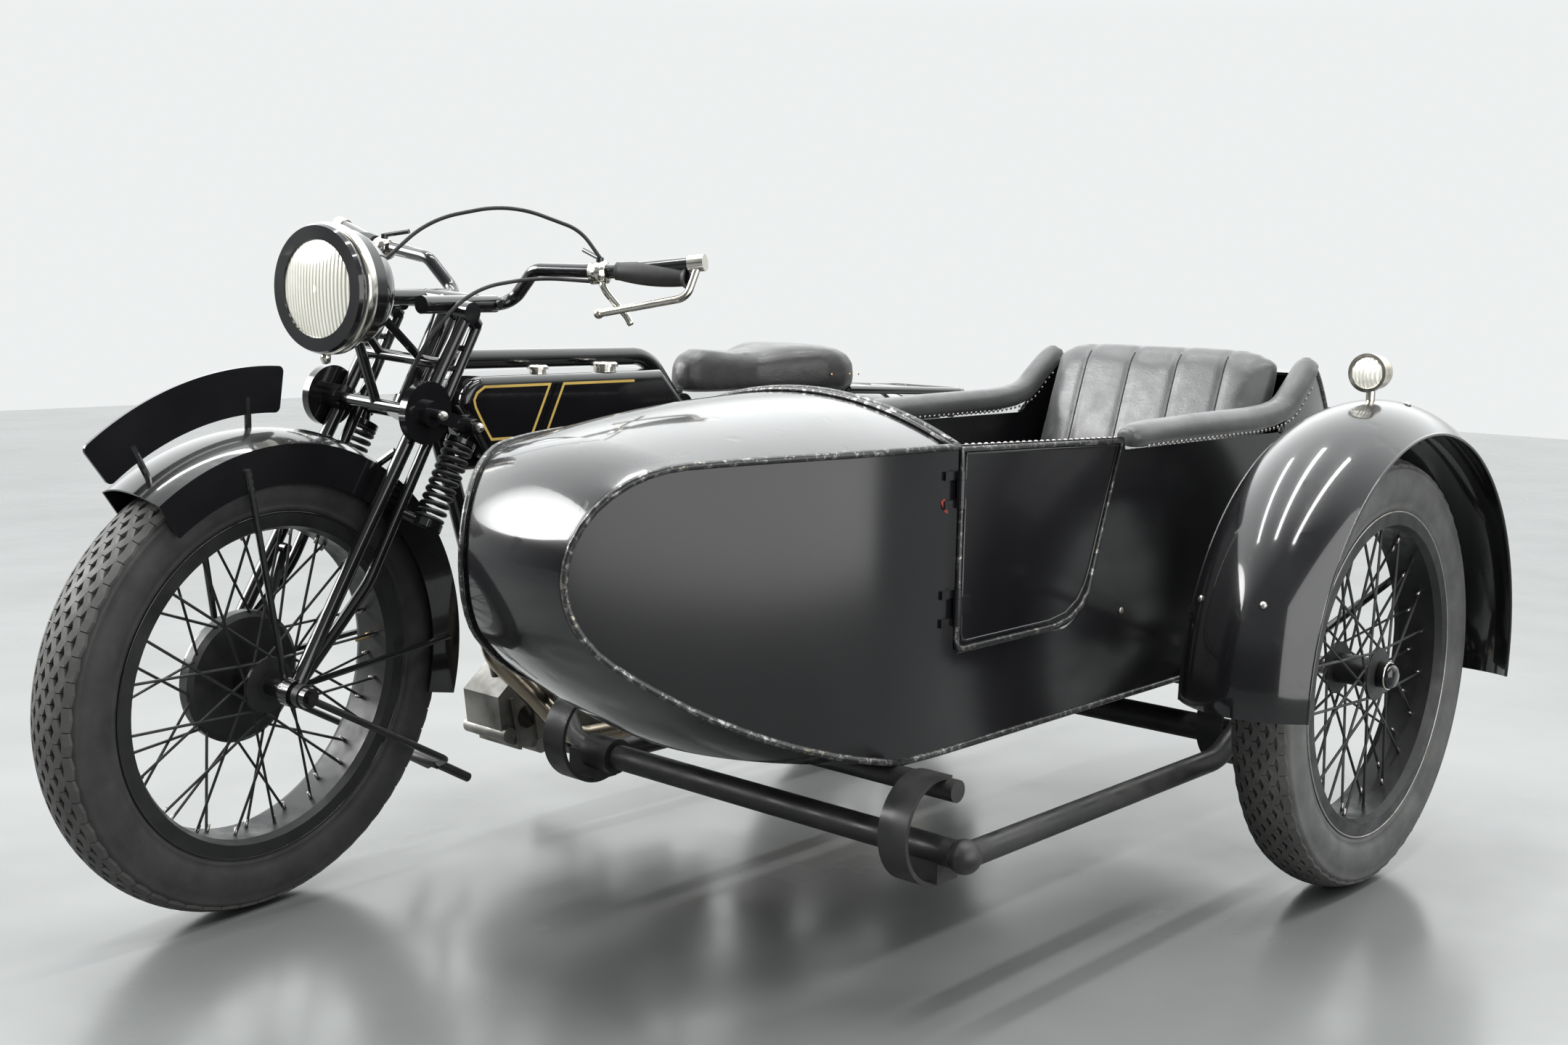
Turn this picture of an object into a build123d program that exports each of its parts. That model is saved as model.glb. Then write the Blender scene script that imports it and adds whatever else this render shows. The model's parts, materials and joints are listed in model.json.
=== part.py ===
from build123d import *
import math
import os

# A 1920s side-valve style motorcycle with a girder fork, wire wheels and a bullet-nosed
# sidecar on its left.  Millimetres, +X forward, +Y left, +Z up.  The origin is on the
# ground under the rear axle, in the middle plane of the motorcycle.

# Driving dimensions: wheels and layout
TYRE_R = 345.0
TYRE_W = 100.0
RIM_R = 259.0
RIM_W = 83.0
RIM_DEPTH = 27.0
RIM_T = 4.0
WHEELBASE = 1420.0
TRACK = 1135.0
SIDE_LEAD = 134.0
AXLE_R = 9.0
RUN_GAP = 0.4
SPOKE_R = 2.2
SPOKES = 40
FLANGE_R = 42.0
DRUM_R = 100.0
HUB_R = 24.0
HUB_HALF = 38.0

# Steering: rake from upright, fork length along the axis, axle ahead of the axis
RAKE = 28.0
FORK_LENGTH = 647.0
FORK_OFFSET = 69.0
STEER_REST = 9.0
HEAD_START = 10.0
HEAD_END = 156.0
HEAD_R = 19.0
STEM_R = 11.0
BLADE_Y = 86.0
BLADE_R = 11.0
REAR_BLADE_R = 9.0

# Front stand: reach from the axle, folded angle, eyes
STAND_R = 400.0
STAND_ANGLE = 209.0
STAND_Y = 106.0
STAND_EYE = 12.0

# Mudguards
GUARD_T = 3.0
GUARD_R = 378.0
GUARD_HALF = 62.0
VALANCE = 58.0
SIDE_GUARD_R = 432.0
SIDE_GUARD_HALF = 100.0
SIDE_GUARD_DROP = 46.0

# Frame, tank and engine
TUBE_R = 16.0
STAY_R = 9.0
TOP_TUBE_Z = 808.0
RAIL_Z = 640.0
SEAT_LUG = (545.0, 0.0, 715.0)
CRADLE_Z = 150.0
CRADLE_Y = 48.0
CRADLE_FRONT_X = 930.0
CRADLE_REAR_X = 500.0
TANK_FRONT = 1080.0
TANK_HALF = 74.0
TANK_TOP = 784.0
TANK_ROUND = 44.0
SEAM_TOP, SEAM_LOW = 886.0, 936.0
ENGINE_X = 800.0
CRANK_Z = 268.0
CRANK_R = 108.0
CRANK_HALF = 44.0
CASTING_HALF = 46.0
MAGNETO_Z = 376.0
FIN_T = 5.0
FIN_PITCH = 15.0
FINS = 13

# Sidecar body
BODY_RIGHT = 360.0
BODY_TO_WHEEL = 235.0
WALL = 5.0
BEAD = 4.0
COWL_X = 900.0
CROWN_Z = 788.0
FLOOR_Z = 318.0
ARCH_R = 637.0
DECK_R = 2000.0
DECK_TURN = 12.0
NOSE_R = 160.0
NOSE_END = 135.0
BELLY_R = 795.0
NOSE_SHARE, TAIL_SHARE = 0.17, 0.65
TAIL_X = -430.0
SIDE_TOP = 716.0
ELBOW_TOP = 700.0
DOOR_REAR = 482.0
DOOR_SLANT = 88.0
DOOR_BOTTOM = 447.0
DOOR_GAP = 3.0
DOOR_CORNER = 85.0
HINGE_OUT = 6.5
HINGE_R = 6.0
HINGE_RISE = 53
HINGE_DROP = 68
ROLL_R = 25.0

# Chassis
CHASSIS_Z = 222.0
CHASSIS_R = 19.0
FRONT_TUBE_X = 1020.0
REAR_TUBE_X = 205.0
INNER_GAP = 20.0
SIDE_TUBE_IN = 117.0
BAR_R = 15.0
SPRING_R = 70.0
SPRING_T = 6.0
SPRING_W = 45.0
SPRING_GAP = 57.0

# Derived places
SIN, COS = math.sin(math.radians(RAKE)), math.cos(math.radians(RAKE))
FRONT_AXLE = Vector(WHEELBASE, 0, TYRE_R)
REAR_AXLE = Vector(0, 0, TYRE_R)
SIDE_AXLE = Vector(SIDE_LEAD, TRACK, TYRE_R)
DOWN_AXIS = Vector(SIN, 0, -COS)
FORE_AXIS = Vector(COS, 0, SIN)
HEAD = FRONT_AXLE - DOWN_AXIS * FORK_LENGTH - FORE_AXIS * FORK_OFFSET
STEER_AXIS = Axis(HEAD, -DOWN_AXIS)
BAR_Z = FLOOR_Z - BEAD - BAR_R
BODY_LEFT = TRACK - BODY_TO_WHEEL
BODY_Y, BODY_HALF = (BODY_LEFT + BODY_RIGHT) / 2, (BODY_LEFT - BODY_RIGHT) / 2
INNER_TUBE_Y = BODY_RIGHT - INNER_GAP
SIDE_TUBE_Y = TRACK - SIDE_TUBE_IN
SPRING_OUT = BODY_HALF + SPRING_GAP

nodes = {}
BEND_SHARE = 0.45


def fork_point(down, fore, y):
    """A point of the fork: distance down the steering axis, ahead of it, and to the left."""
    return HEAD + DOWN_AXIS * down + FORE_AXIS * fore + Vector(0, y, 0)


def route(points, bend):
    """A wire of straight runs with round bends, each as wide as its runs allow if none is given."""
    points = [Vector(*p) if isinstance(p, tuple) else p for p in points]
    edges = []
    start = points[0]
    for a, b, c in zip(points, points[1:], points[2:]):
        into, out = (b - a).normalized(), (c - b).normalized()
        half = math.radians(into.get_angle(out)) / 2
        r = bend or BEND_SHARE * min((b - a).length, (c - b).length) / math.tan(half)
        cut = r * math.tan(half)
        middle = b + (out - into).normalized() * (r / math.cos(half) - r)
        edges.append(Edge.make_line(start, b - into * cut))
        edges.append(Edge.make_three_point_arc(b - into * cut, middle, b + out * cut))
        start = b + out * cut
    edges.append(Edge.make_line(start, points[-1]))
    return Wire(edges)


def tube(points, r, bend=40.0):
    path = route(points, bend)
    return sweep(Plane(origin=path @ 0, z_dir=path % 0) * Circle(r), path)


def rod(a, b, r, sides=0):
    """A round or many-sided bar from a to b."""
    a, b = Vector(*a), Vector(*b)
    face = RegularPolygon(r, sides) if sides else Circle(r)
    return extrude(Plane(origin=a, z_dir=b - a) * face, (b - a).length)


def disc(centre, r, y0, y1):
    """A round piece along Y, from y0 to y1 beside its centre."""
    c = Vector(*centre)
    return rod(c + Vector(0, y0, 0), c + Vector(0, y1, 0), r)


def block(low, high):
    size = [b - a for a, b in zip(low, high)]
    middle = [(a + b) / 2 for a, b in zip(low, high)]
    return Pos(*middle) * Box(*size)


def outline(start, *moves):
    """A closed face: a move is a point, or a pair of points for an arc."""
    edges = []
    here = start
    for move in moves + (start,):
        if isinstance(move[0], tuple):
            edges.append(Edge.make_three_point_arc(*[(*p, 0) for p in (here, move[0], move[1])]))
            here = move[1]
        elif move != here:
            edges.append(Edge.make_line((*here, 0), (*move, 0)))
            here = move
    return Face(Wire(edges))


def cap(r, base, top):
    """Middle and end of an arc centred on the axis, from (0, top) out to (r, base)."""
    h = top - base
    ball = (r * r + h * h) / (2 * abs(h))
    half = math.atan2(r, (ball - abs(h))) / 2
    centre = top - math.copysign(ball, h)
    return (ball * math.sin(half), centre + math.copysign(ball * math.cos(half), h)), (r, base)


def spin(face, centre, start=0.0, arc=360.0):
    """Turns a face of (radius, Y) points about a Y axis, from +X towards +Z."""
    a = math.radians(start)
    plane = Plane(centre, x_dir=(math.cos(a), 0, math.sin(a)), z_dir=(-math.sin(a), 0, math.cos(a)))
    return revolve(plane * face, Axis(centre, (0, -1, 0)), arc)


def upright(face, y0, y1):
    """Stands a face of (X, Z) points up between two Y planes."""
    return extrude(Plane((0, y0, 0), x_dir=(1, 0, 0), z_dir=(0, -1, 0)) * face, y1 - y0, dir=(0, 1, 0))


def polar(centre, r, degrees, y):
    a = math.radians(degrees)
    return centre + Vector(r * math.cos(a), y, r * math.sin(a))


def join(first, *others):
    return first.fuse(*others)


# Wheels

def tyre():
    half = TYRE_W / 2
    bead = RIM_W / 2 - RIM_T - RUN_GAP
    seat = RIM_R - RIM_DEPTH + RIM_T + 6
    side, shoulder = RIM_R + (TYRE_R - RIM_R) * 0.45, TYRE_R - 13
    face = outline((seat, -bead), (RIM_R, -bead), ((side, -half), (shoulder, -half + 8)),
                   ((TYRE_R, 0), (shoulder, half - 8)), ((side, half), (RIM_R, bead)), (seat, bead))
    return spin(face, (0, 0, 0))


def rim():
    out, bed = RIM_W / 2, RIM_R - RIM_DEPTH
    seat = bed + RIM_T + 6 - RUN_GAP
    face = outline((RIM_R, -out), (bed + 6, -out), (bed, -out + 11), (bed, out - 11), (bed + 6, out),
                   (RIM_R, out), (RIM_R, out - RIM_T), (seat, out - RIM_T),
                   (bed + RIM_T, out - 15), (bed + RIM_T, -out + 15),
                   (seat, -out + RIM_T), (RIM_R, -out + RIM_T))
    return spin(face, (0, 0, 0))


def hub(drum):
    """Barrel, spoke flanges and, on the right, an optional brake drum."""
    bore, t = AXLE_R + RUN_GAP, 5
    face = outline((bore, -HUB_HALF), (HUB_R, -HUB_HALF), (HUB_R, HUB_HALF - 8), (FLANGE_R, HUB_HALF - 8),
                   (FLANGE_R, HUB_HALF - 8 + t), (HUB_R, HUB_HALF), (bore, HUB_HALF))
    body = spin(face, (0, 0, 0))
    if drum:
        cup = outline((HUB_R - 1, -HUB_HALF + 14), (HUB_R - 1, -HUB_HALF + 20), (DRUM_R - 8, -HUB_HALF + 20),
                      (DRUM_R, -HUB_HALF + 14), (DRUM_R, -HUB_HALF), (DRUM_R - 6, -HUB_HALF),
                      (DRUM_R - 6, -HUB_HALF + 14))
        return body + spin(cup, (0, 0, 0))
    ring = outline((HUB_R - 1, -HUB_HALF + 3), (FLANGE_R, -HUB_HALF + 3), (FLANGE_R, -HUB_HALF + 8),
                   (HUB_R - 1, -HUB_HALF + 8))
    return body + spin(ring, (0, 0, 0))


def wire_wheel(drum):
    """Rim, hub and crossed spokes, alternately to the left and the right flange."""
    bed = RIM_R - RIM_DEPTH + 2
    pieces = [hub(drum)]
    for i in range(SPOKES):
        side = 1 if i % 2 else -1
        lead = 1 if i % 4 < 2 else -1
        at_rim = 360 / SPOKES * i
        drum_side = drum and side < 0
        start_r = DRUM_R - 4 if drum_side else FLANGE_R - 4
        swing = 24 if drum_side else 62
        start_y = -HUB_HALF + 15 if drum_side else side * (HUB_HALF - 5.5)
        a = polar(Vector(0, 0, 0), start_r, at_rim + lead * swing, start_y)
        b = polar(Vector(0, 0, 0), bed, at_rim, side * 10)
        pieces.append(rod(a, b, SPOKE_R, 6))
    return join(rim(), *pieces)


tyre_solid = tyre()
drum_wheel, plain_wheel = wire_wheel(True), wire_wheel(False)
for name, at, wheel in (
    # wheel, axle centre, spoked wheel
    ("front", FRONT_AXLE, drum_wheel),
    ("rear", REAR_AXLE, drum_wheel),
    ("side", SIDE_AXLE, plain_wheel),
):
    nodes["tyre_" + name] = Pos(*at) * tyre_solid
    nodes["wheel_" + name] = Pos(*at) * wheel


# Girder fork

BLADE_TOP, BLADE_TOP_FORE = 13.0, 42.0
LINK_DOWN, LINK_FORE = 190.0, 60.0
YOKE_DOWN, YOKE_FORE = 172.0, -24.0
SPRING_COIL_R = 20.0
SPRING_WIRE = 4.0
SPRING_TURNS = 9
SPRING_FORE, SPRING_Y = -30.0, 108.0
SPRING_TOP, SPRING_END = 204.0, 332.0
TIE_DOWN, TIE_FORE = 105.0, 50.0
LINK_IN, LINK_T = 113.0, 8.0


def fork_blade(side):
    """Front and rear tube of one side with its rungs, lugs and spring seat."""
    y = side * BLADE_Y
    top = fork_point(BLADE_TOP, BLADE_TOP_FORE, y)
    axle = fork_point(FORK_LENGTH, FORK_OFFSET, y)
    front = rod(top, axle, BLADE_R)
    rear_points = [fork_point(BLADE_TOP + 8, 12, y), fork_point(455, 14, y), axle]
    rear = tube(rear_points, REAR_BLADE_R, 150)
    pieces = [rear, disc(axle, 21, -9, 9), disc(top, 17, -13, 13)]
    pieces.append(rod(fork_point(BLADE_TOP + 8, 12, y), top, 11))
    for down in (60, 95, 130, 165):
        pieces.append(rod(fork_point(down, 12, y), fork_point(down + 20, 52, y), 4.5, 6))
    pin = fork_point(LINK_DOWN, LINK_FORE, y)
    pieces.append(disc(pin, 20, -13, 13))
    seat = fork_point(SPRING_END, SPRING_FORE, side * SPRING_Y)
    pieces.append(rod(seat, seat + DOWN_AXIS * 12, SPRING_COIL_R + SPRING_WIRE))
    pieces.append(rod(seat + DOWN_AXIS * 6, fork_point(SPRING_END + 6, 13, y), 8))
    return join(front, *pieces)


def fork_girder():
    """Both blades and the cross tubes between them."""
    ties = []
    for down, fore in ((TIE_DOWN, TIE_FORE), (LINK_DOWN, LINK_FORE)):
        a, b = fork_point(down, fore, -BLADE_Y), fork_point(down, fore, BLADE_Y)
        ties.append(rod(a, b, 9))
    return join(fork_blade(1), fork_blade(-1), *ties) - disc(FRONT_AXLE, AXLE_R, -200, 200)


LUG_Y = 56.0
LUG_BACK, LUG_FRONT = -40.0, 120.0
LUG_R = 14.0
TOP_YOKE = -20.0


def fork_yokes():
    """Steering stem with its top collar and the lower yoke with the links' rear pin."""
    stem = rod(fork_point(TOP_YOKE, 0, 0), fork_point(YOKE_DOWN + 14, 0, 0), STEM_R)
    pieces = [rod(fork_point(TOP_YOKE, 0, 0), fork_point(HEAD_START - RUN_GAP, 0, 0), HEAD_R + 3)]
    low = fork_point(HEAD_END + RUN_GAP, 0, 0)
    pieces.append(rod(low, fork_point(YOKE_DOWN + 16, 0, 0), HEAD_R + 5))
    back = fork_point(YOKE_DOWN, YOKE_FORE, 0)
    pieces.append(disc(back, 9, -LINK_IN - LINK_T - 8, LINK_IN + LINK_T + 8))
    pieces.append(rod(fork_point(YOKE_DOWN, 0, 0), back, 10))
    return join(stem, *pieces)


def handlebar_lugs():
    """Cross piece on the stem with a lug each side, bolted down to the girder's top pins."""
    cross = fork_point(TOP_YOKE, 0, 0)
    pin = fork_point(BLADE_TOP, BLADE_TOP_FORE, 0)
    pieces = []
    for side in (1, -1):
        base = cross + Vector(0, side * LUG_Y, 0)
        pieces.append(rod(base + Vector(LUG_BACK, 0, 0), base + Vector(LUG_FRONT, 0, 0), LUG_R))
        end = pin + Vector(0, side * (BLADE_Y - 13), 0)
        pieces.append(rod(Vector(end.X, base.Y, base.Z), Vector(end.X, base.Y, end.Z), 11))
        pieces.append(rod(Vector(end.X, base.Y - side * 6, end.Z), end, 10))
        for fore in (-34, 34):
            bolt = base + Vector(fore, side * (LUG_R - 3), 0)
            pieces.append(disc(bolt, 7, 0 if side > 0 else -7, 7 if side > 0 else 0))
    return join(disc(cross, 15, -LUG_Y, LUG_Y), *pieces)


def damper_link(side):
    """Lower link with its round friction damper and nuts, and the spring's top seat."""
    out = side * LINK_IN
    front = fork_point(LINK_DOWN, LINK_FORE, 0)
    back = fork_point(YOKE_DOWN, YOKE_FORE, 0)

    def plate(centre, r, y0, y1):
        return disc(centre, r, min(side * y0, side * y1), max(side * y0, side * y1))

    inner = BLADE_Y + 13 + RUN_GAP
    damper = plate(front, 48, inner, LINK_IN)
    pieces = [plate(front, 20, LINK_IN, LINK_IN + 12), plate(front, 8, LINK_IN + 12, LINK_IN + 26)]
    pieces.append(plate(back, 17, LINK_IN - 6, LINK_IN + LINK_T))
    pieces.append(plate(back, 12, LINK_IN + LINK_T, LINK_IN + LINK_T + 14))
    middle = (front + back) * 0.5 + Vector(0, out + side * LINK_T / 2, 0)
    length = (front - back).length
    arm = Plane(middle, x_dir=front - back, z_dir=(0, 1, 0)) * Box(length, 22, LINK_T)
    pieces.append(arm)
    seat = fork_point(SPRING_TOP, SPRING_FORE, side * SPRING_Y)
    pieces.append(rod(seat - DOWN_AXIS * 8, seat, SPRING_COIL_R + SPRING_WIRE))
    pieces.append(rod(fork_point(YOKE_DOWN, YOKE_FORE - 2, out), seat - DOWN_AXIS * 4, 9))
    return join(damper, *pieces)


def coil(start, end, r, wire, turns, sides=4):
    """A round coil spring of thick wire, with both ends on its seats."""
    length = (end - start).length
    pitch = (length - 2 * wire) / turns
    path = Edge.make_helix(pitch, pitch * turns, r)
    section = Plane(path @ 0, z_dir=path % 0) * RegularPolygon(wire, sides)
    spring = sweep(section, path, is_frenet=True)
    return Plane(start + (end - start).normalized() * wire, z_dir=end - start) * spring


steering = {"fork_girder": fork_girder(), "fork_yokes": fork_yokes()}
for name, side in (("left", 1), ("right", -1)):
    link = damper_link(side)
    steering["damper_link_" + name] = link - steering["fork_yokes"] - steering["fork_girder"]
    low = fork_point(SPRING_TOP, SPRING_FORE, side * SPRING_Y)
    high = fork_point(SPRING_END, SPRING_FORE, side * SPRING_Y)
    steering["fork_spring_" + name] = coil(low, high, SPRING_COIL_R, SPRING_WIRE, SPRING_TURNS)


# Handlebar, grips and levers

BAR_TUBE_R = 11.0
GRIP_R = 17.0
GRIP_LENGTH = 122.0
GRIP_END = (928.0, 380.0, 993.0)
GRIP_START = (963.0, 260.0, 971.0)


def mirrored(points, side):
    return [(x, side * y, z) for x, y, z in points]


def handlebar(side):
    lug = fork_point(TOP_YOKE, 0, 0)
    points = [(lug.X + LUG_BACK, LUG_Y, lug.Z), (lug.X + LUG_BACK - 36, LUG_Y + 4, lug.Z + 2),
              (lug.X + LUG_BACK - 22, LUG_Y + 62, lug.Z + 60), GRIP_START, GRIP_END]
    bar = tube(mirrored(points, side), BAR_TUBE_R, 26)
    clamp = Vector(*mirrored([GRIP_START], side)[0])
    along = (Vector(*mirrored([GRIP_END], side)[0]) - clamp).normalized()
    collar = rod(clamp - along * 34, clamp - along * 12, BAR_TUBE_R + 5)
    stalk = rod(clamp - along * 23, clamp - along * 23 + Vector(0, 0, 24), 6)
    thumb = rod(clamp - along * 23 + Vector(0, 0, 22), clamp - along * 70 + Vector(-26, 0, 40), 4)
    return join(bar, collar, stalk, thumb)


def grip(side):
    """Ribbed barrel on the end of the bar."""
    a, b = [Vector(*p) for p in mirrored([GRIP_START, GRIP_END], side)]
    along = (b - a).normalized()
    end = b - along * 4
    face = outline((BAR_TUBE_R, 0), (GRIP_R - 3, 0), (GRIP_R - 3, 6), ((GRIP_R + 1, GRIP_LENGTH / 2 - 6),
                   (GRIP_R - 3, GRIP_LENGTH - 12)), (GRIP_R, GRIP_LENGTH - 6), (GRIP_R, GRIP_LENGTH - 12 + 6),
                   (BAR_TUBE_R, GRIP_LENGTH - 6))
    barrel = revolve(face, Axis.Y)
    lay = Plane(end - along * (GRIP_LENGTH - 6), x_dir=(0, 0, 1), z_dir=Vector(0, 0, 1).cross(along))
    return lay * barrel


def lever(side):
    """Lever pivoted in the bar's end, curving forward under the grip."""
    a, b = [Vector(*p) for p in mirrored([GRIP_START, GRIP_END], side)]
    along = (b - a).normalized()
    tip = a + Vector(14, 0, -64) - along * 10
    body = rod(b + along * 0.2, b + along * 26, 13)
    ear = tube([b + along * 16, b + along * 14 + Vector(22, 0, -52), tip], 6, 22)
    knob = Pos(*tip) * Sphere(8)
    return join(body, ear, knob)


bars = {1: handlebar(1), -1: handlebar(-1)}
for name, side in (("left", 1), ("right", -1)):
    steering["grip_" + name] = grip(side) - bars[side]
    steering["lever_" + name] = lever(side) - bars[side]
steering["handlebar"] = join(handlebar_lugs(), *bars.values()) - steering["fork_girder"]
steering["fork_yokes"] = steering["fork_yokes"] - steering["handlebar"] - steering["fork_girder"]


# Headlamp

LAMP_AT = fork_point(93, 253, 0)
LAMP_R = 88.0
LAMP_DEPTH = 120.0
RING_T = 14.0
LAMP_DOME = 62.0
LAMP_T = 4.0


def lamp_turn(face):
    """Turns a (radius, distance behind the rim) face about the lamp's level axis."""
    plane = Plane(LAMP_AT, x_dir=(0, 0, 1), z_dir=(0, -1, 0))
    return revolve(plane * face, Axis(LAMP_AT, (1, 0, 0)))


def headlamp():
    """Deep round shell, its rim and the lens, and the space that they fill."""
    base, back = LAMP_DEPTH - LAMP_DOME, LAMP_DEPTH
    inner = cap(LAMP_R - LAMP_T, base, back - LAMP_T)
    shell = outline((0, back), cap(LAMP_R, base, back), (LAMP_R, RING_T), (LAMP_R - LAMP_T, RING_T), inner[1],
                    (inner[0], (0, back - LAMP_T)))
    seat = LAMP_R - 16
    ring = outline((seat, 0), (LAMP_R + 4, 0), (LAMP_R + 7, 6), (LAMP_R + 5, RING_T), (seat, RING_T))
    lens = outline((0, -5), cap(seat, 3, -5), (seat, 8), (0, 8))
    filled = outline((0, back), cap(LAMP_R, base, back), (LAMP_R, 0), (0, 0))
    return [lamp_turn(face) for face in (shell, ring, lens, filled)]


def lamp_bracket():
    """Two arms from the fork's upper tie to the shell, and a pillar from the lower tie."""
    arms = []
    for side in (1, -1):
        start = fork_point(TIE_DOWN, TIE_FORE, side * 45)
        arms.append(rod(start, LAMP_AT + Vector(-LAMP_DEPTH + 40, side * 30, -20), 7, 8))
    pillar = rod(fork_point(LINK_DOWN, LINK_FORE, 0), LAMP_AT + Vector(-LAMP_DEPTH + 52, 0, -40), 8)
    return [*arms, pillar]


shell, ring, lens, filled = headlamp()
steering["headlamp_shell"], steering["headlamp_ring"], steering["headlamp_lens"] = shell, ring, lens
steering["fork_girder"] = join(steering["fork_girder"], *lamp_bracket()) - filled


# Front mudguard, plate, axle and cables

GUARD_START, GUARD_END = 54.0, 192.0
PLATE_T, PLATE_CORNER = 4.0, 9.0


def guard_face(r, half, valance, t):
    """Cross-section of a valanced mudguard: a round crown with straight sides."""
    shoulder = r - 16
    inner = half - t
    return outline((shoulder - valance, -half), (shoulder, -half), ((r, 0), (shoulder, half)),
                   (shoulder - valance, half), (shoulder - valance, inner), (shoulder, inner),
                   ((r - t, 0), (shoulder, -inner)), (shoulder - valance, -inner))


def front_mudguard():
    """Valanced guard with a stay each side from the axle, carried on the fork's bridge."""
    face = guard_face(GUARD_R, GUARD_HALF, VALANCE, GUARD_T)
    guard = spin(face, FRONT_AXLE, GUARD_START, GUARD_END - GUARD_START)
    pieces = []
    for side in (1, -1):
        foot = FRONT_AXLE + Vector(0, side * (BLADE_Y - 14), 0)
        pieces.append(disc(foot, 16, -3, 3))
        for angle in (78, 176):
            rim_end = polar(FRONT_AXLE, GUARD_R - 40, angle, side * (GUARD_HALF + 1))
            pieces.append(rod(foot, rim_end, 5, 8))
        bridge = fork_point(FORK_LENGTH - GUARD_R - 12, 56, side * (BLADE_Y - BLADE_R))
        pieces.append(rod(bridge, fork_point(FORK_LENGTH - GUARD_R + 14, 56, side * (GUARD_HALF - 12)), 6, 8))
    return join(guard, *pieces)


def number_plate():
    """Blank curved plate along the mudguard's crown, on two clips."""
    face = outline((GUARD_R + 20, -PLATE_T / 2), (GUARD_R + 88, -PLATE_T / 2), (GUARD_R + 88, PLATE_T / 2),
                   (GUARD_R + 20, PLATE_T / 2))
    plate = spin(face, FRONT_AXLE, 52, 43)
    plate = fillet(plate.edges().filter_by(Axis.Y), PLATE_CORNER)
    clips = []
    for angle in (60, 87):
        a, b = polar(FRONT_AXLE, GUARD_R - 1, angle, 0), polar(FRONT_AXLE, GUARD_R + 44, angle, 0)
        clips.append(rod(a, b, 5, 8))
    return join(plate, *clips)


def front_axle():
    """Spindle with nuts, brake plate and the torque arm to the right blade."""
    spindle = disc(FRONT_AXLE, AXLE_R, -STAND_Y - 24, STAND_Y + 24)
    pieces = []
    eye = STAND_EYE / 2 + RUN_GAP
    for a, b in ((BLADE_Y + 9, STAND_Y - eye), (STAND_Y + eye, STAND_Y + eye + 12)):
        pieces += [disc(FRONT_AXLE, 15, a, b), disc(FRONT_AXLE, 15, -b, -a)]
    inner = BLADE_Y - 9
    pieces.append(disc(FRONT_AXLE, 14, HUB_HALF + RUN_GAP, inner - 9))
    plate_y = -HUB_HALF - RUN_GAP
    pieces.append(disc(FRONT_AXLE, DRUM_R - 2, plate_y - 5, plate_y))
    pieces.append(disc(FRONT_AXLE, 14, -inner + 9, plate_y - 5))
    arm_end = fork_point(FORK_LENGTH - 205, FORK_OFFSET - 14, -BLADE_Y + BLADE_R + 9)
    arm_start = FRONT_AXLE + Vector(-46, plate_y - 4, 52)
    pieces.append(rod(arm_start, arm_end, 8, 4))
    pieces.append(disc(arm_end, 8, -9, 6))
    return join(spindle, *pieces)


steering["front_mudguard"] = front_mudguard() - steering["fork_girder"]
steering["number_plate"] = number_plate() - steering["front_mudguard"]
axle = front_axle() - steering["fork_girder"]
steering["front_axle"] = axle
steering["front_mudguard"] = steering["front_mudguard"] - axle

CABLE_R = 3.0
CABLE_FORK = fork_point(LINK_DOWN - 9, LINK_FORE, 44)
CABLES = (
    # points from the left lever bracket: over the bars to the lamp's back, and down to the fork's tie
    [(969, 238, 990), (986, 210, 1030), (1060, 130, 1062), (1150, 50, 1030), LAMP_AT + Vector(-106, 18, 38)],
    [(970, 236, 953), (1014, 150, 952), (1110, 104, 930), (1174, 74, 846), CABLE_FORK],
)
cables = []
for points in CABLES:
    cable = tube(points, CABLE_R, 0) - steering["handlebar"] - steering["fork_girder"]
    cable -= Pos(-RUN_GAP, 0, 0) * filled
    cables.append(cable.solids().sort_by(SortBy.VOLUME)[-1])
steering["control_cables"] = Compound(children=cables)

# Front stand, folded up behind the wheel


def front_stand():
    """Two arms from the axle's ends to a cross bar behind the tyre, with two feet."""
    pieces = []
    for side in (1, -1):
        eye = FRONT_AXLE + Vector(0, side * STAND_Y, 0)
        ring = disc(eye, 17, -STAND_EYE / 2, STAND_EYE / 2) - disc(eye, AXLE_R + RUN_GAP, -9, 9)
        knee = polar(FRONT_AXLE, STAND_R - 60, STAND_ANGLE, side * STAND_Y)
        foot = polar(FRONT_AXLE, STAND_R, STAND_ANGLE + 1, side * 40)
        arm = tube([polar(FRONT_AXLE, 13, STAND_ANGLE, side * STAND_Y), knee, foot], 5.5, 30)
        toe = rod(foot, polar(FRONT_AXLE, STAND_R + 76, STAND_ANGLE + 1, side * 46), 8)
        pieces += [ring, arm, toe]
    ends = [polar(FRONT_AXLE, STAND_R, STAND_ANGLE + 1, y) for y in (-42, 42)]
    bar = rod(*ends, 9)
    return join(bar, *pieces)


# Frame and rear end

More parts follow.
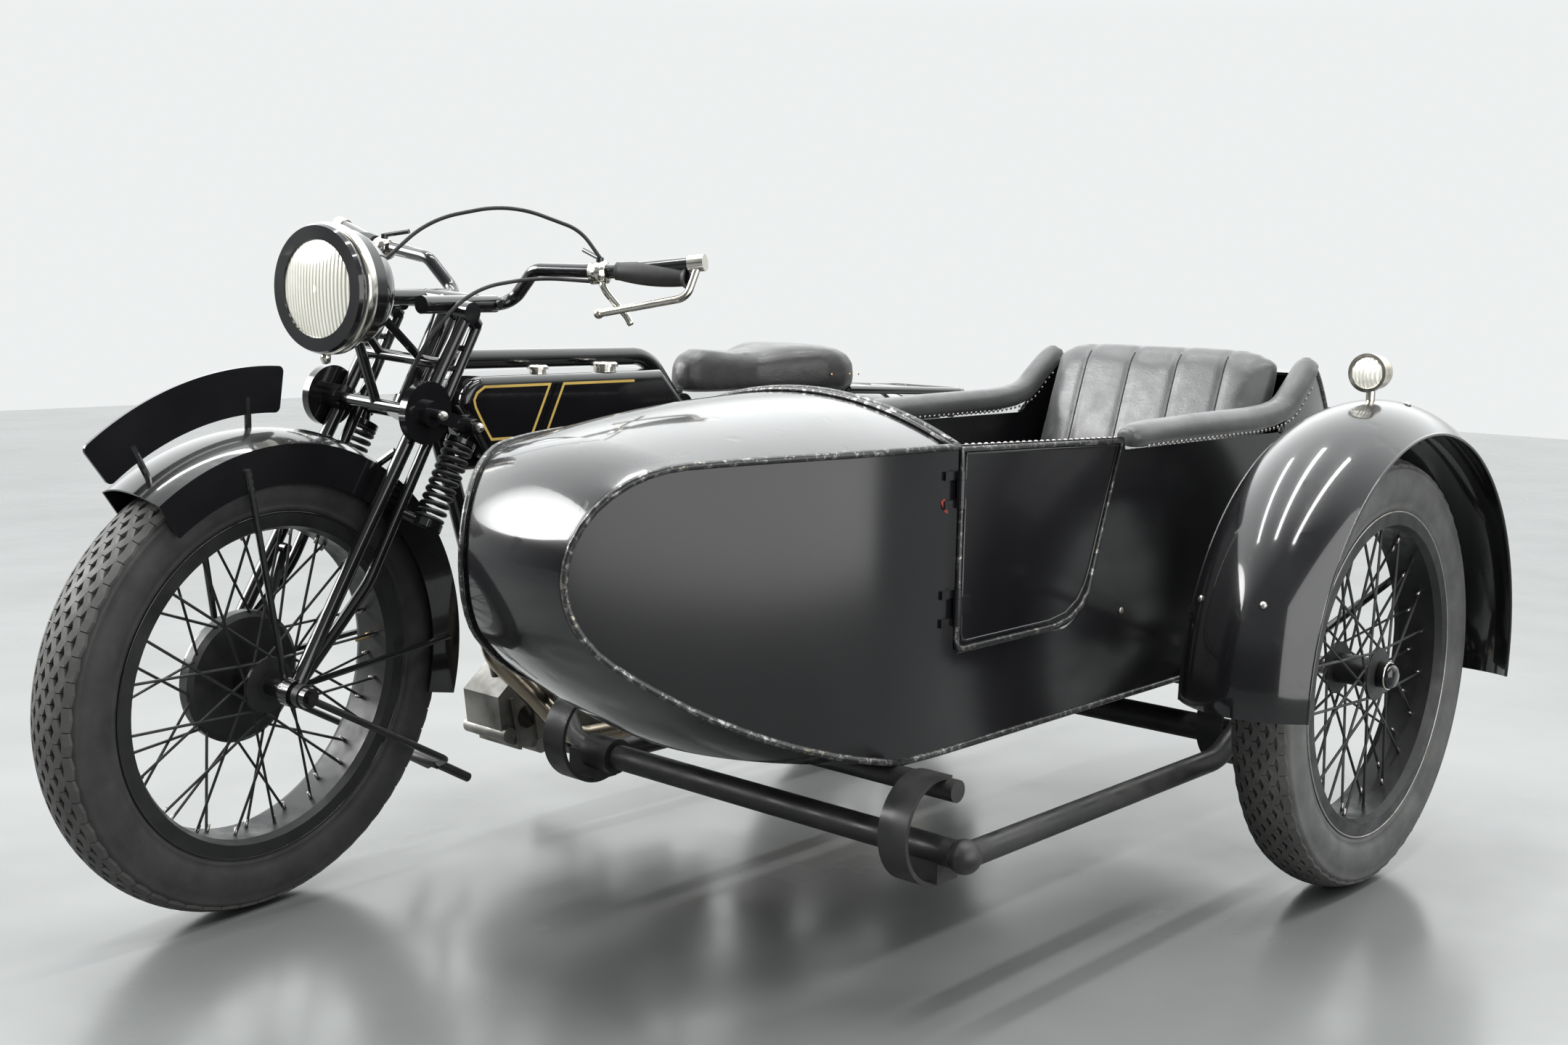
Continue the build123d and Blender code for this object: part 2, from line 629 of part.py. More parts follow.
def frame():
    """Head lug, top tube, down tube, tank rail, cradle, seat tube and stays."""
    head = rod(fork_point(HEAD_START, 0, 0), fork_point(HEAD_END, 0, 0), HEAD_R)
    top_s = (HEAD.Z - TOP_TUBE_Z) / COS
    top_start = fork_point(top_s, 0, 0)
    pieces = [tube([(top_start.X, 0, TOP_TUBE_Z), (620, 0, TOP_TUBE_Z - 2), SEAT_LUG], TUBE_R, 70)]
    low = fork_point(HEAD_END - 55, 0, 0)
    front_foot = (CRADLE_FRONT_X, 0, CRADLE_Z + 60)
    pieces.append(rod(low, front_foot, TUBE_R))
    slope = (low.X - CRADLE_FRONT_X) / (low.Z - front_foot[2])
    rail_x = CRADLE_FRONT_X + slope * (RAIL_Z - front_foot[2])
    pieces.append(rod((rail_x, 0, RAIL_Z), (SEAT_LUG[0] - 8, 0, RAIL_Z), 12))
    seat_foot = (CRADLE_REAR_X, 0, CRADLE_Z + 40)
    pieces.append(rod((SEAT_LUG[0] + 4, 0, SEAT_LUG[2] + 25), seat_foot, TUBE_R))
    pieces.append(disc(front_foot, 20, -CRADLE_Y, CRADLE_Y))
    pieces.append(disc(seat_foot, 18, -CRADLE_Y - 14, CRADLE_Y + 14))
    for side in (1, -1):
        y = side * CRADLE_Y
        pieces.append(tube([(ENGINE_X + 40, y, CRADLE_Z), (CRADLE_REAR_X, y, CRADLE_Z),
                            (CRADLE_REAR_X, y, CRADLE_Z + 40)], 11, 30))
        end = (0, side * 92, TYRE_R)
        pieces.append(rod((CRADLE_REAR_X, side * (CRADLE_Y + 10), CRADLE_Z + 40), end, 11))
        pieces.append(rod((SEAT_LUG[0] - 20, side * 30, SEAT_LUG[2] - 55), (360, side * 76, 560), STAY_R))
        pieces.append(rod((360, side * 76, 560), end, STAY_R))
        pieces.append(Pos(360, side * 76, 560) * Sphere(STAY_R))
        pieces.append(disc(end, 24, -7, 7))
    pieces.append(disc((SEAT_LUG[0] - 20, 0, SEAT_LUG[2] - 55), 12, -34, 34))
    pieces.append(disc(SEAT_LUG, 22, -22, 22))
    whole = join(head, *pieces)
    bore = rod(fork_point(HEAD_START - 1, 0, 0), fork_point(HEAD_END + 1, 0, 0), STEM_R + RUN_GAP)
    return whole - bore - disc(REAR_AXLE, AXLE_R, -120, 120)


nodes["frame"] = frame()


def rear_axle():
    spindle = disc(REAR_AXLE, AXLE_R, -124, 124)
    sides = [disc(REAR_AXLE, 15, 99, 112), disc(REAR_AXLE, 15, -112, -99)]
    sides.append(disc(REAR_AXLE, 14, HUB_HALF + RUN_GAP, 85))
    sides.append(disc(REAR_AXLE, 14, -85, -HUB_HALF - RUN_GAP))
    sides.append(disc(REAR_AXLE, DRUM_R - 2, -HUB_HALF - RUN_GAP - 5, -HUB_HALF - RUN_GAP))
    return join(spindle, *sides) - nodes["frame"]


nodes["rear_axle"] = rear_axle()

REAR_GUARD_HALF = 60.0
CARRIER_Z = 735.0
CARRIER_HALF = 95.0
CARRIER_FRONT, CARRIER_BACK = 170.0, -225.0
SPRING_X, SPRING_FOOT = 240.0, 696.0


def rear_mudguard():
    guard = spin(guard_face(GUARD_R, REAR_GUARD_HALF, 30, GUARD_T), REAR_AXLE, 24, 172)
    stays = []
    for side in (1, -1):
        foot = REAR_AXLE + Vector(0, side * 74, 0)
        stays.append(disc(foot, 17, -4, 4))
        for angle in (140, 186):
            stays.append(rod(foot, polar(REAR_AXLE, GUARD_R - 36, angle, side * (REAR_GUARD_HALF + 1)), 6, 8))
    bridge = rod((SEAT_LUG[0] - 20, 0, SEAT_LUG[2] - 55), polar(REAR_AXLE, GUARD_R - 1, 41, 0), 9)
    return join(guard, bridge, *stays) - nodes["frame"] - nodes["rear_axle"]


nodes["rear_mudguard"] = rear_mudguard()


def rear_carrier():
    """Tubular luggage rack on two pairs of stays."""
    corners = [(CARRIER_FRONT, -CARRIER_HALF, CARRIER_Z), (CARRIER_BACK, -CARRIER_HALF, CARRIER_Z - 18),
               (CARRIER_BACK, CARRIER_HALF, CARRIER_Z - 18), (CARRIER_FRONT, CARRIER_HALF, CARRIER_Z)]
    loop = tube(corners, 8, 40)
    pieces = []
    for share in (0.25, 0.5, 0.75):
        x = CARRIER_FRONT + (CARRIER_BACK - CARRIER_FRONT) * share
        z = CARRIER_Z - 18 * share
        pieces.append(rod((x, -CARRIER_HALF, z), (x, CARRIER_HALF, z), 6, 8))
    for side in (1, -1):
        eye = Vector(0, side * 105, TYRE_R)
        pieces.append(rod(eye, (-190, side * CARRIER_HALF, CARRIER_Z - 17), 7, 8))
        pieces.append(disc(eye, 15, -6, 6))
        pieces.append(rod((CARRIER_FRONT, side * CARRIER_HALF, CARRIER_Z), (330, side * 76, 545), 7, 8))
        pieces.append(rod((SPRING_X, side * 72, SPRING_FOOT - 6), (SPRING_X, side * 72, SPRING_FOOT), 25))
        pieces.append(rod((SPRING_X, side * 72, SPRING_FOOT - 4), (202, side * 91, SPRING_FOOT - 4), 6, 8))
    cross = rod((CARRIER_FRONT, -CARRIER_HALF, CARRIER_Z), (CARRIER_FRONT, CARRIER_HALF, CARRIER_Z), 7, 8)
    return join(loop, cross, *pieces) - nodes["frame"] - nodes["rear_axle"] - nodes["rear_mudguard"]


nodes["rear_carrier"] = rear_carrier()


# Tank and its caps

def tank():
    """Flat-sided tank with a round front, a sloping rear and a raised seam."""
    rail = RAIL_Z + 12
    slope_x = SEAT_LUG[0] + 18
    nose = TANK_ROUND * (1 - math.sqrt(0.5))
    face = outline((TANK_FRONT - 56, rail), (TANK_FRONT, TANK_TOP - TANK_ROUND),
                   ((TANK_FRONT - nose, TANK_TOP - nose), (TANK_FRONT - TANK_ROUND, TANK_TOP)),
                   (645, TANK_TOP), (slope_x, TANK_TOP - 82), (slope_x, rail))
    body = upright(face, -TANK_HALF, TANK_HALF)
    rims = body.edges().filter_by(lambda e: abs(abs(e.center().Y) - TANK_HALF) < 1)
    body = fillet(rims, 14)
    for side in (1, -1):
        seam = outline((SEAM_LOW - 5, rail + 10), (SEAM_TOP - 5, TANK_TOP - 14),
                       (SEAM_TOP + 5, TANK_TOP - 14), (SEAM_LOW + 5, rail + 10))
        y = side * (TANK_HALF - 1)
        body += upright(seam, min(y, y + side * 4), max(y, y + side * 4))
    return body - nodes["frame"]


nodes["tank"] = tank()


def tank_cap(x, y, r, h):
    cap = outline((0, 0), (r - 4, 0), (r - 4, h * 0.5), (r, h * 0.5), (r, h - 3), (r - 4, h), (0, h))
    return Pos(x, y, TANK_TOP) * revolve(Plane.XZ * cap, Axis.Z)


CAPS = (
    # X, Y, radius, height
    (756, 42, 23, 16),
    (900, 38, 18, 14),
)
nodes["tank_caps"] = Compound(children=[tank_cap(*row).solid() for row in CAPS])


# Engine and transmission

def crankcase():
    """Round crankcase halves with a timing cover and a front casting bolted to the down tube."""
    body = disc((ENGINE_X, 0, CRANK_Z), CRANK_R, -CRANK_HALF, CRANK_HALF)
    timing = disc((ENGINE_X - 30, 0, CRANK_Z + 6), 62, -CRANK_HALF - 24, -CRANK_HALF)
    drive = disc((ENGINE_X, 0, CRANK_Z), 34, CRANK_HALF, CRANK_HALF + 18)
    neck = block((ENGINE_X - 62, -CRANK_HALF, CRANK_Z), (ENGINE_X + 62, CRANK_HALF, CRANK_Z + CRANK_R))
    nose_x, sump = CRADLE_FRONT_X + 62, CRADLE_Z - 24
    casting = outline((ENGINE_X - 60, sump), (ENGINE_X + 33, sump), (nose_x - 24, sump + 43),
                      (nose_x - 8, sump + 62), (nose_x, sump + 126), (nose_x - 50, sump + 168),
                      (ENGINE_X, CRANK_Z + 60), (ENGINE_X - 60, CRANK_Z))
    front = upright(casting, -CASTING_HALF, CASTING_HALF)
    for rib_x in (ENGINE_X + 60, ENGINE_X + 105, ENGINE_X + 150):
        rib = outline((rib_x - 4, sump + 30), (rib_x + 4, sump + 32), (rib_x + 20, sump + 120),
                      (rib_x + 12, sump + 122))
        front += upright(rib, -CASTING_HALF - 6, CASTING_HALF + 6)
    for x, z in ((ENGINE_X + 105, sump + 30), (nose_x - 18, sump + 60)):
        front += disc((x, 0, z), 13, -CASTING_HALF - 8, CASTING_HALF + 8)
    shelf = block((650, -30, MAGNETO_Z - 16), (ENGINE_X - 50, 16, MAGNETO_Z - RUN_GAP))
    return join(body, timing, drive, neck, front, shelf) - nodes["frame"]


def cylinder():
    """Finned barrel and head on the crankcase."""
    base = CRANK_Z + CRANK_R
    top = base + FIN_PITCH * FINS + 12
    barrel = rod((ENGINE_X, 0, base), (ENGINE_X, 0, top), 48)
    fins = []
    for i in range(FINS):
        z = base + 14 + FIN_PITCH * i
        wide = 66 if i < FINS - 5 else 74
        fins.append(rod((ENGINE_X, 0, z), (ENGINE_X, 0, z + FIN_T), wide, 12))
    port = rod((ENGINE_X + 40, 20, top - 60), (ENGINE_X + 92, 34, top - 66), 25)
    plug = rod((ENGINE_X, 0, top), (ENGINE_X, 0, top + 22), 9, 6)
    return join(barrel, *fins, port, plug)


nodes["crankcase"] = crankcase()
nodes["cylinder"] = cylinder()
PORT = Vector(ENGINE_X + 92, 34, CRANK_Z + CRANK_R + FIN_PITCH * FINS + 12 - 66)


def gearbox():
    body = disc((600, 0, 268), 74, -58, 40)
    foot = block((560, -CRADLE_Y, CRADLE_Z), (640, CRADLE_Y, 240))
    kick = rod((600, -58, 268), (600, -78, 268), 26)
    return join(body, foot, kick) - nodes["frame"] - nodes["crankcase"]


nodes["gearbox"] = gearbox()


def case(x0, z0, r0, x1, z1, r1, y0, y1):
    """A chain case: two round ends joined by straight sides."""
    a, b = Vector(x0, 0, z0), Vector(x1, 0, z1)
    along = b - a
    span = along.length
    lean = math.asin((r0 - r1) / span)
    up = Vector(-along.Z, 0, along.X).normalized()
    if up.Z < 0:
        up = -up
    u = along.normalized()
    corners = []
    for centre, r, sign in ((a, r0, 1), (b, r1, 1), (b, r1, -1), (a, r0, -1)):
        p = centre + u * (r * math.sin(lean)) + up * (sign * r * math.cos(lean))
        corners.append((p.X, p.Z))
    sheet = upright(outline(corners[0], *corners[1:]), y0, y1)
    return join(sheet, disc((x0, 0, z0), r0, y0, y1), disc((x1, 0, z1), r1, y0, y1))


primary = case(ENGINE_X, CRANK_Z, 62, 600, 268, 84, CRANK_HALF + 18, CRANK_HALF + 46)
nodes["primary_case"] = primary - nodes["frame"] - nodes["crankcase"] - nodes["gearbox"]
magneto = disc((690, 0, MAGNETO_Z + 44), 38, -42, 24)
magneto += block((655, -30, MAGNETO_Z), (725, 16, MAGNETO_Z + 44))
nodes["magneto"] = magneto - nodes["crankcase"] - nodes["cylinder"]
carburettor = rod((ENGINE_X - 40, 0, 530), (ENGINE_X - 118, 0, 530), 20)
carburettor += rod((ENGINE_X - 104, 0, 490), (ENGINE_X - 104, 0, 578), 21)
nodes["carburettor"] = carburettor - nodes["cylinder"] - nodes["frame"]


PIPE_R = 18.0


def exhaust():
    """Pipe from the port down the left of the engine to a round silencer."""
    points = [PORT, PORT + Vector(134, 10, -8), (1012, 58, 330), (885, 112, 178), (430, 124, 164)]
    pipe = tube(points, PIPE_R, 62)
    silencer = rod((430, 124, 164), (110, 130, 166), 32)
    tail = rod((110, 130, 166), (-60, 132, 168), 17)
    hanger = rod((400, 124, 170), (400, 64, 218), 7, 8)
    return join(pipe, silencer, tail, hanger) - nodes["frame"] - nodes["cylinder"] - nodes["primary_case"]


nodes["exhaust"] = exhaust()


# Saddle and footrests

SADDLE_Z = 752.0
SADDLE_T = 68.0
SADDLE_BACK, SADDLE_NOSE = 165.0, 548.0


def saddle():
    """Pan-shaped saddle: broad at the back, drawn in to a round nose."""
    face = outline((SADDLE_NOSE - 24, -34), ((SADDLE_NOSE, 0), (SADDLE_NOSE - 24, 34)), (390, 62), (262, 128),
                   ((180, 138), (SADDLE_BACK + 6, 96)), ((SADDLE_BACK, 0), (SADDLE_BACK + 6, -96)),
                   ((180, -138), (262, -128)), (390, -62))
    return extrude(Pos(0, 0, SADDLE_Z) * face, SADDLE_T, dir=(0, 0, 1)) - nodes["frame"]


nodes["saddle"] = saddle()
springs = [coil(Vector(SPRING_X, y, SPRING_FOOT), Vector(SPRING_X, y, SADDLE_Z), 20, 4, 3) for y in (72, -72)]
nodes["saddle_springs"] = Compound(children=[part.solid() for part in springs])

rest_rod = disc((660, 0, 134), 9, -250, 150)
rest_pads = [disc((660, 0, 134), 17, -250, -150)]
nodes["footrests"] = join(rest_rod, *rest_pads) - nodes["frame"]


# Sidecar body

HULL_HALF = BODY_HALF + 20
REACH_Y = BODY_HALF + 130
NOSE_A = math.radians(DECK_TURN)
DECK_C = Vector(COWL_X, BODY_Y, CROWN_Z - DECK_R)
NOSE_C = DECK_C + Vector(math.sin(NOSE_A), 0, math.cos(NOSE_A)) * (DECK_R - NOSE_R)
NOSE_B = math.radians(NOSE_END)
BELLY_C = NOSE_C - Vector(math.sin(NOSE_B), 0, math.cos(NOSE_B)) * (BELLY_R - NOSE_R)
ARCH_DROP = ARCH_R - math.sqrt(ARCH_R ** 2 - HULL_HALF ** 2)
FRONT_LIMIT = NOSE_C.X + NOSE_R + 60


def nose_hull(inset):
    """Filled front of the body: an arched strip bent round the deck, the nose and the belly."""
    whole = None
    for centre, r, depth, start, arc in (
        # arc centre, radius, filled depth, first angle above +X, sweep
        (DECK_C, DECK_R, 300, 90 - DECK_TURN, DECK_TURN),
        (NOSE_C, NOSE_R, NOSE_R, 90 - NOSE_END, NOSE_END - DECK_TURN),
        (BELLY_C, BELLY_R, 300, -90, 180 - NOSE_END),
    ):
        edge, inner = r - inset - ARCH_DROP, r - depth
        face = outline((inner, -HULL_HALF), (edge, -HULL_HALF), ((r - inset, 0), (edge, HULL_HALF)),
                       (inner, HULL_HALF))
        wedge = spin(face, centre, start, arc)
        whole = wedge if whole is None else whole + wedge
    floor = FLOOR_Z + inset
    return whole & block((COWL_X, BODY_Y - REACH_Y, floor), (FRONT_LIMIT, BODY_Y + REACH_Y, CROWN_Z + 50))


def plan(inset):
    """Footprint between the sides: straight at the cockpit, drawn in to nose and tail."""
    half = BODY_HALF - inset
    points = []
    for length, share in ((FRONT_LIMIT - COWL_X, NOSE_SHARE), (-TAIL_X, TAIL_SHARE)):
        drop = BODY_HALF * (1 - share)
        r = (length ** 2 + drop ** 2) / (2 * drop)
        part = r - math.sqrt(r ** 2 - (length / 2) ** 2)
        points.append((half - part, half - drop))
    (nose_mid, nose_end), (tail_mid, tail_end) = points
    front, back = FRONT_LIMIT, TAIL_X
    front_mid, back_mid = (COWL_X + front) / 2, back / 2
    face = outline((COWL_X, half), ((front_mid, nose_mid), (front, nose_end)), (front, -nose_end),
                   ((front_mid, -nose_mid), (COWL_X, -half)), (0, -half),
                   ((back_mid, -tail_mid), (back, -tail_end)), (back, tail_end),
                   ((back_mid, tail_mid), (0, half)))
    return extrude(Pos(0, BODY_Y, 200) * face, 700, dir=(0, 0, 1))


SIDE_EDGE = CROWN_Z - (ARCH_R - math.sqrt(ARCH_R ** 2 - BODY_HALF ** 2))


def rear_profile(grow):
    """Side outline behind the cowl: cockpit edge, elbow roll, seat back and sloping tail."""
    g = grow
    return outline((COWL_X, FLOOR_Z - g), (COWL_X, SIDE_EDGE + g), (DOOR_REAR, SIDE_TOP + g),
                   (DOOR_REAR - 6, ELBOW_TOP), (-30, ELBOW_TOP), (-150, 796 + g), (-190, 800 + g),
                   (-330, 700 + g),
                   ((TAIL_X + 24 - g, 610), (TAIL_X - g, 500)),
                   ((TAIL_X + 14, 380), (TAIL_X + 60, FLOOR_Z - g)))


outer_plan, inner_plan = plan(0), plan(WALL)
outer_nose, inner_nose, bead_nose = nose_hull(0), nose_hull(WALL), nose_hull(-BEAD)
side_solid = bead_nose + upright(rear_profile(BEAD), BODY_Y - REACH_Y, BODY_Y + REACH_Y)
wall_ring = (outer_plan - inner_plan) & side_solid
left_half = block((TAIL_X - 50, BODY_Y, 100), (FRONT_LIMIT + 50, BODY_Y + REACH_Y, 1000))
slant_x = DOOR_REAR + DOOR_SLANT
door_hole = outline((COWL_X - 2, DOOR_BOTTOM + 12), (COWL_X - 2, SIDE_TOP + 90),
                    (DOOR_REAR - 32, SIDE_TOP + 90), (slant_x - 22, DOOR_BOTTOM + DOOR_CORNER),
                    ((slant_x + 8, DOOR_BOTTOM + 22), (slant_x + DOOR_CORNER, DOOR_BOTTOM)),
                    (COWL_X - 14, DOOR_BOTTOM),
                    ((COWL_X - 5.5, DOOR_BOTTOM + 3.5), (COWL_X - 2, DOOR_BOTTOM + 12)))
hole_solid = upright(door_hole, BODY_LEFT - 60, BODY_LEFT + 20)
gap_face = offset(door_hole, -DOOR_GAP)
door_solid = upright(gap_face, BODY_LEFT - 60, BODY_LEFT + 20)
left_side = wall_ring & left_half
nodes["body_side_left"] = left_side - hole_solid
nodes["body_side_right"] = wall_ring - left_half
nodes["body_deck"] = (outer_nose - inner_nose) & inner_plan

HINGE_AT = Vector(COWL_X - 0.5, BODY_LEFT + HINGE_OUT, 0)
# Whole millimetres, above the door's lower edge and below the side's upper edge
HINGE_LOW, HINGE_HIGH = round(DOOR_BOTTOM) + HINGE_RISE, round(SIDE_EDGE) - HINGE_DROP
door = left_side & door_solid
barrels = []
leaves = []
for z in HINGE_LOW, HINGE_HIGH:
    barrels.append(rod(HINGE_AT + Vector(0, 0, z), HINGE_AT + Vector(0, 0, z + 26), HINGE_R))
    barrels.append(block((HINGE_AT.X - 34, BODY_LEFT, z), (HINGE_AT.X - 6, BODY_LEFT + 3.5, z + 26)))
    barrels.append(block((HINGE_AT.X - 8, BODY_LEFT + RUN_GAP, z), (HINGE_AT.X, BODY_LEFT + 3.5, z + 26)))
    for low, high in ((z - 12, z - RUN_GAP), (z + 26 + RUN_GAP, z + 38)):
        leaves.append(rod(HINGE_AT + Vector(0, 0, low), HINGE_AT + Vector(0, 0, high), HINGE_R))
        leaves.append(block((HINGE_AT.X, BODY_LEFT - 4, low), (HINGE_AT.X + 30, BODY_LEFT + 3, high)))
nodes["door"] = join(door, *barrels)
nodes["body_side_left"] = join(nodes["body_side_left"], *leaves)

floor_sheet = inner_plan & block((TAIL_X + 40, BODY_Y - REACH_Y, FLOOR_Z),
                                 (COWL_X, BODY_Y + REACH_Y, FLOOR_Z + WALL))
SEAT_FRONT, SEAT_BACK, RISER_Z = 450.0, 60.0, 400.0
RISER_HALF, RISER_T = BODY_HALF - 70, 15.0
riser_low = Vector(SEAT_BACK, BODY_Y - RISER_HALF, FLOOR_Z + WALL)
riser_high = Vector(SEAT_FRONT - 20, BODY_Y + RISER_HALF, RISER_Z)
riser = block(riser_low, riser_high)
riser -= block(riser_low + Vector(RISER_T, RISER_T, 0), riser_high - Vector(RISER_T, RISER_T, RISER_T))
tail_face = rear_profile(0)
tail_shell = upright(tail_face, BODY_Y - REACH_Y, BODY_Y + REACH_Y)
tail_shell -= upright(offset(tail_face, -WALL), BODY_Y - REACH_Y, BODY_Y + REACH_Y)
tail_box = block((TAIL_X - 50, BODY_Y - REACH_Y, FLOOR_Z + WALL), (-152, BODY_Y + REACH_Y, 1000))
tail = tail_shell & tail_box & inner_plan
nodes["body_tail"] = tail
nodes["body_floor"] = join(floor_sheet, riser) - tail

SEAT_HALF = BODY_HALF - 30
cushion = block((SEAT_BACK + 6, BODY_Y - SEAT_HALF, RISER_Z), (SEAT_FRONT, BODY_Y + SEAT_HALF, RISER_Z + 70))
nodes["seat_cushion"] = cushion
back_face = outline((SEAT_BACK, RISER_Z + 70.5), (-72, 838), ((-100, 858), (-130, 838)),
                    (SEAT_BACK - 62, RISER_Z))
seat_back = upright(back_face, BODY_Y - SEAT_HALF, BODY_Y + SEAT_HALF)
nodes["seat_back"] = seat_back - nodes["body_floor"] - nodes["body_tail"]


def armrest(side):
    y = BODY_Y + side * (BODY_HALF - WALL / 2)
    points = [(DOOR_REAR - 4, y, ELBOW_TOP + ROLL_R - 4), (-24, y, ELBOW_TOP + ROLL_R - 4),
              (-142, y - side * 4, 796 + ROLL_R)]
    roll = tube(points, ROLL_R, 60)
    return roll - wall_ring - nodes["seat_back"]


for name, side in (("left", 1), ("right", -1)):
    nodes["armrest_" + name] = armrest(side)


# Chassis, springs and sidecar wheel

def chassis():
    """Front tube, side tube up to the wheel's axle, rear tube, inner tube and bike struts."""
    inner_y, z = INNER_TUBE_Y, CHASSIS_Z
    front = rod((FRONT_TUBE_X, inner_y - 30, z), (FRONT_TUBE_X, SIDE_TUBE_Y, z), CHASSIS_R)
    side_points = [(FRONT_TUBE_X, SIDE_TUBE_Y, z), (360, SIDE_TUBE_Y, z), (SIDE_LEAD, SIDE_TUBE_Y, TYRE_R)]
    pieces = [tube(side_points, 17, 90), Pos(FRONT_TUBE_X, SIDE_TUBE_Y, z) * Sphere(CHASSIS_R + 4)]
    pieces.append(rod((REAR_TUBE_X, 176, z), (REAR_TUBE_X, SIDE_TUBE_Y, z), CHASSIS_R + 3))
    drop = rod((REAR_TUBE_X, SIDE_TUBE_Y, z), (SIDE_LEAD, SIDE_TUBE_Y, TYRE_R), 15)
    pieces.append(drop)
    pieces.append(rod((FRONT_TUBE_X, inner_y, z), (REAR_TUBE_X, inner_y, z), 16))
    pieces.append(disc((FRONT_TUBE_X, inner_y, z), 27, -28, 28))
    pieces.append(disc(SIDE_AXLE, 30, SIDE_TUBE_Y - TRACK - 22, SIDE_TUBE_Y - TRACK + 26))
    knee = (FRONT_TUBE_X - 20, inner_y - 90, z + 4)
    arm = [(FRONT_TUBE_X, inner_y - 30, z), knee, (ENGINE_X + 72, CRANK_HALF - 4, CRANK_Z + 22)]
    pieces.append(tube(arm, 14, 60))
    pieces.append(rod((REAR_TUBE_X, 180, z), (120, 84, 312), 13))
    pieces.append(rod((560, inner_y, z), (SEAT_LUG[0] - 28, 30, 640), 13))
    for x in (FRONT_TUBE_X, REAR_TUBE_X):
        for sign in (1, -1):
            y = BODY_Y + sign * SPRING_OUT
            low = BAR_Z + BAR_R + SPRING_T / 2 - 2 * SPRING_R + SPRING_T / 2
            pieces.append(block((x - 30, y - 30, low), (x + 14, y + 30, z)))
    return join(front, *pieces) - nodes["frame"] - nodes["rear_axle"] - nodes["crankcase"]


def c_springs(x):
    """A cross bar under the body in the upper ends of two flat C springs."""
    top = BAR_Z + BAR_R + SPRING_T / 2
    centre = Vector(x, 0, top - SPRING_R)
    bar_x = x - 16
    reach = SPRING_OUT + SPRING_W / 2 + 14
    bar = rod((bar_x, BODY_Y - reach, BAR_Z), (bar_x, BODY_Y + reach, BAR_Z), BAR_R)
    face = outline((SPRING_R - SPRING_T / 2, -SPRING_W / 2), (SPRING_R + SPRING_T / 2, -SPRING_W / 2),
                   (SPRING_R + SPRING_T / 2, SPRING_W / 2), (SPRING_R - SPRING_T / 2, SPRING_W / 2))
    straps = []
    for sign in (1, -1):
        y = BODY_Y + sign * SPRING_OUT
        straps.append(spin(face, centre + Vector(0, y, 0), -118, 226))
    return join(bar, *straps)


nodes["chassis"] = chassis()
for name, x in (("front", FRONT_TUBE_X), ("rear", REAR_TUBE_X)):
    springs = c_springs(x) - nodes["body_floor"] - nodes["body_deck"]
    nodes["chassis"] = nodes["chassis"] - springs
    nodes["c_springs_" + name] = springs


def side_axle():
    inner = SIDE_TUBE_Y - TRACK + 26
    spindle = disc(SIDE_AXLE, AXLE_R, SIDE_TUBE_Y - TRACK - 30, HUB_HALF + 26)
    collar = disc(SIDE_AXLE, 15, inner, -HUB_HALF - RUN_GAP)
    nut = disc(SIDE_AXLE, 15, HUB_HALF + RUN_GAP, HUB_HALF + 16)
    return join(spindle, collar, nut)


nodes["side_axle"] = side_axle()
nodes["chassis"] = nodes["chassis"] - nodes["side_axle"]


def side_mudguard():
    """Wide domed guard with an inner stay to the axle and one to the body's side."""
    r, half = SIDE_GUARD_R, SIDE_GUARD_HALF
    edge = r - SIDE_GUARD_DROP
    face = outline((edge, -half), ((r, 0), (edge, half)), (edge - 1, half - GUARD_T), ((r - GUARD_T - 1, 0),
                   (edge - 1, -half + GUARD_T)))
    guard = spin(face, SIDE_AXLE, 0, 188)
    stays = []
    for angle in (20, 90, 165):
        start = polar(SIDE_AXLE, 24, angle, SIDE_TUBE_Y - TRACK)
        stays.append(rod(start, polar(SIDE_AXLE, edge + 8, angle, -half + 3), 7, 8))
    return join(guard, *stays) - nodes["chassis"] - nodes["side_axle"]


nodes["side_mudguard"] = side_mudguard()


def side_lamp():
    """Small round lamp on a stalk on top of the guard, facing forward."""
    at = SIDE_AXLE + Vector(20, 0, SIDE_GUARD_R + 42)
    drum = outline((0, -40), cap(27, -14, -40), (27, 8), (30, 8), (30, 16), (25, 16), (25, 4), (0, 4))
    glass = outline((0, 4.2), (24.6, 4.2), (24.6, 14), (cap(24.6, 14, 21)[0], (0, 21)))
    plane = Plane(at, x_dir=(0, 0, 1), z_dir=(0, 1, 0))
    shell = revolve(plane * drum, Axis(at, (1, 0, 0)))
    stalk = rod(at + Vector(-4, 0, -24), at + Vector(-4, 0, -44), 7)
    return join(shell, stalk) - nodes["side_mudguard"], revolve(plane * glass, Axis(at, (1, 0, 0)))


nodes["side_lamp"], nodes["side_lamp_lens"] = side_lamp()

# Steering pieces are turned to the parked angle about the steering axis
steering["front_stand"] = front_stand()
steering["tyre_front"] = nodes.pop("tyre_front")
steering["wheel_front"] = nodes.pop("wheel_front")
for name, shape in steering.items():
    nodes[name] = shape.rotate(STEER_AXIS, STEER_REST)

os.makedirs("parts", exist_ok=True)
for name, shape in nodes.items():
    export_step(shape, f"parts/{name}.step")
print(len(nodes), "nodes")
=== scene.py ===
import json
import math

import bpy
from mathutils import Matrix, Quaternion, Vector


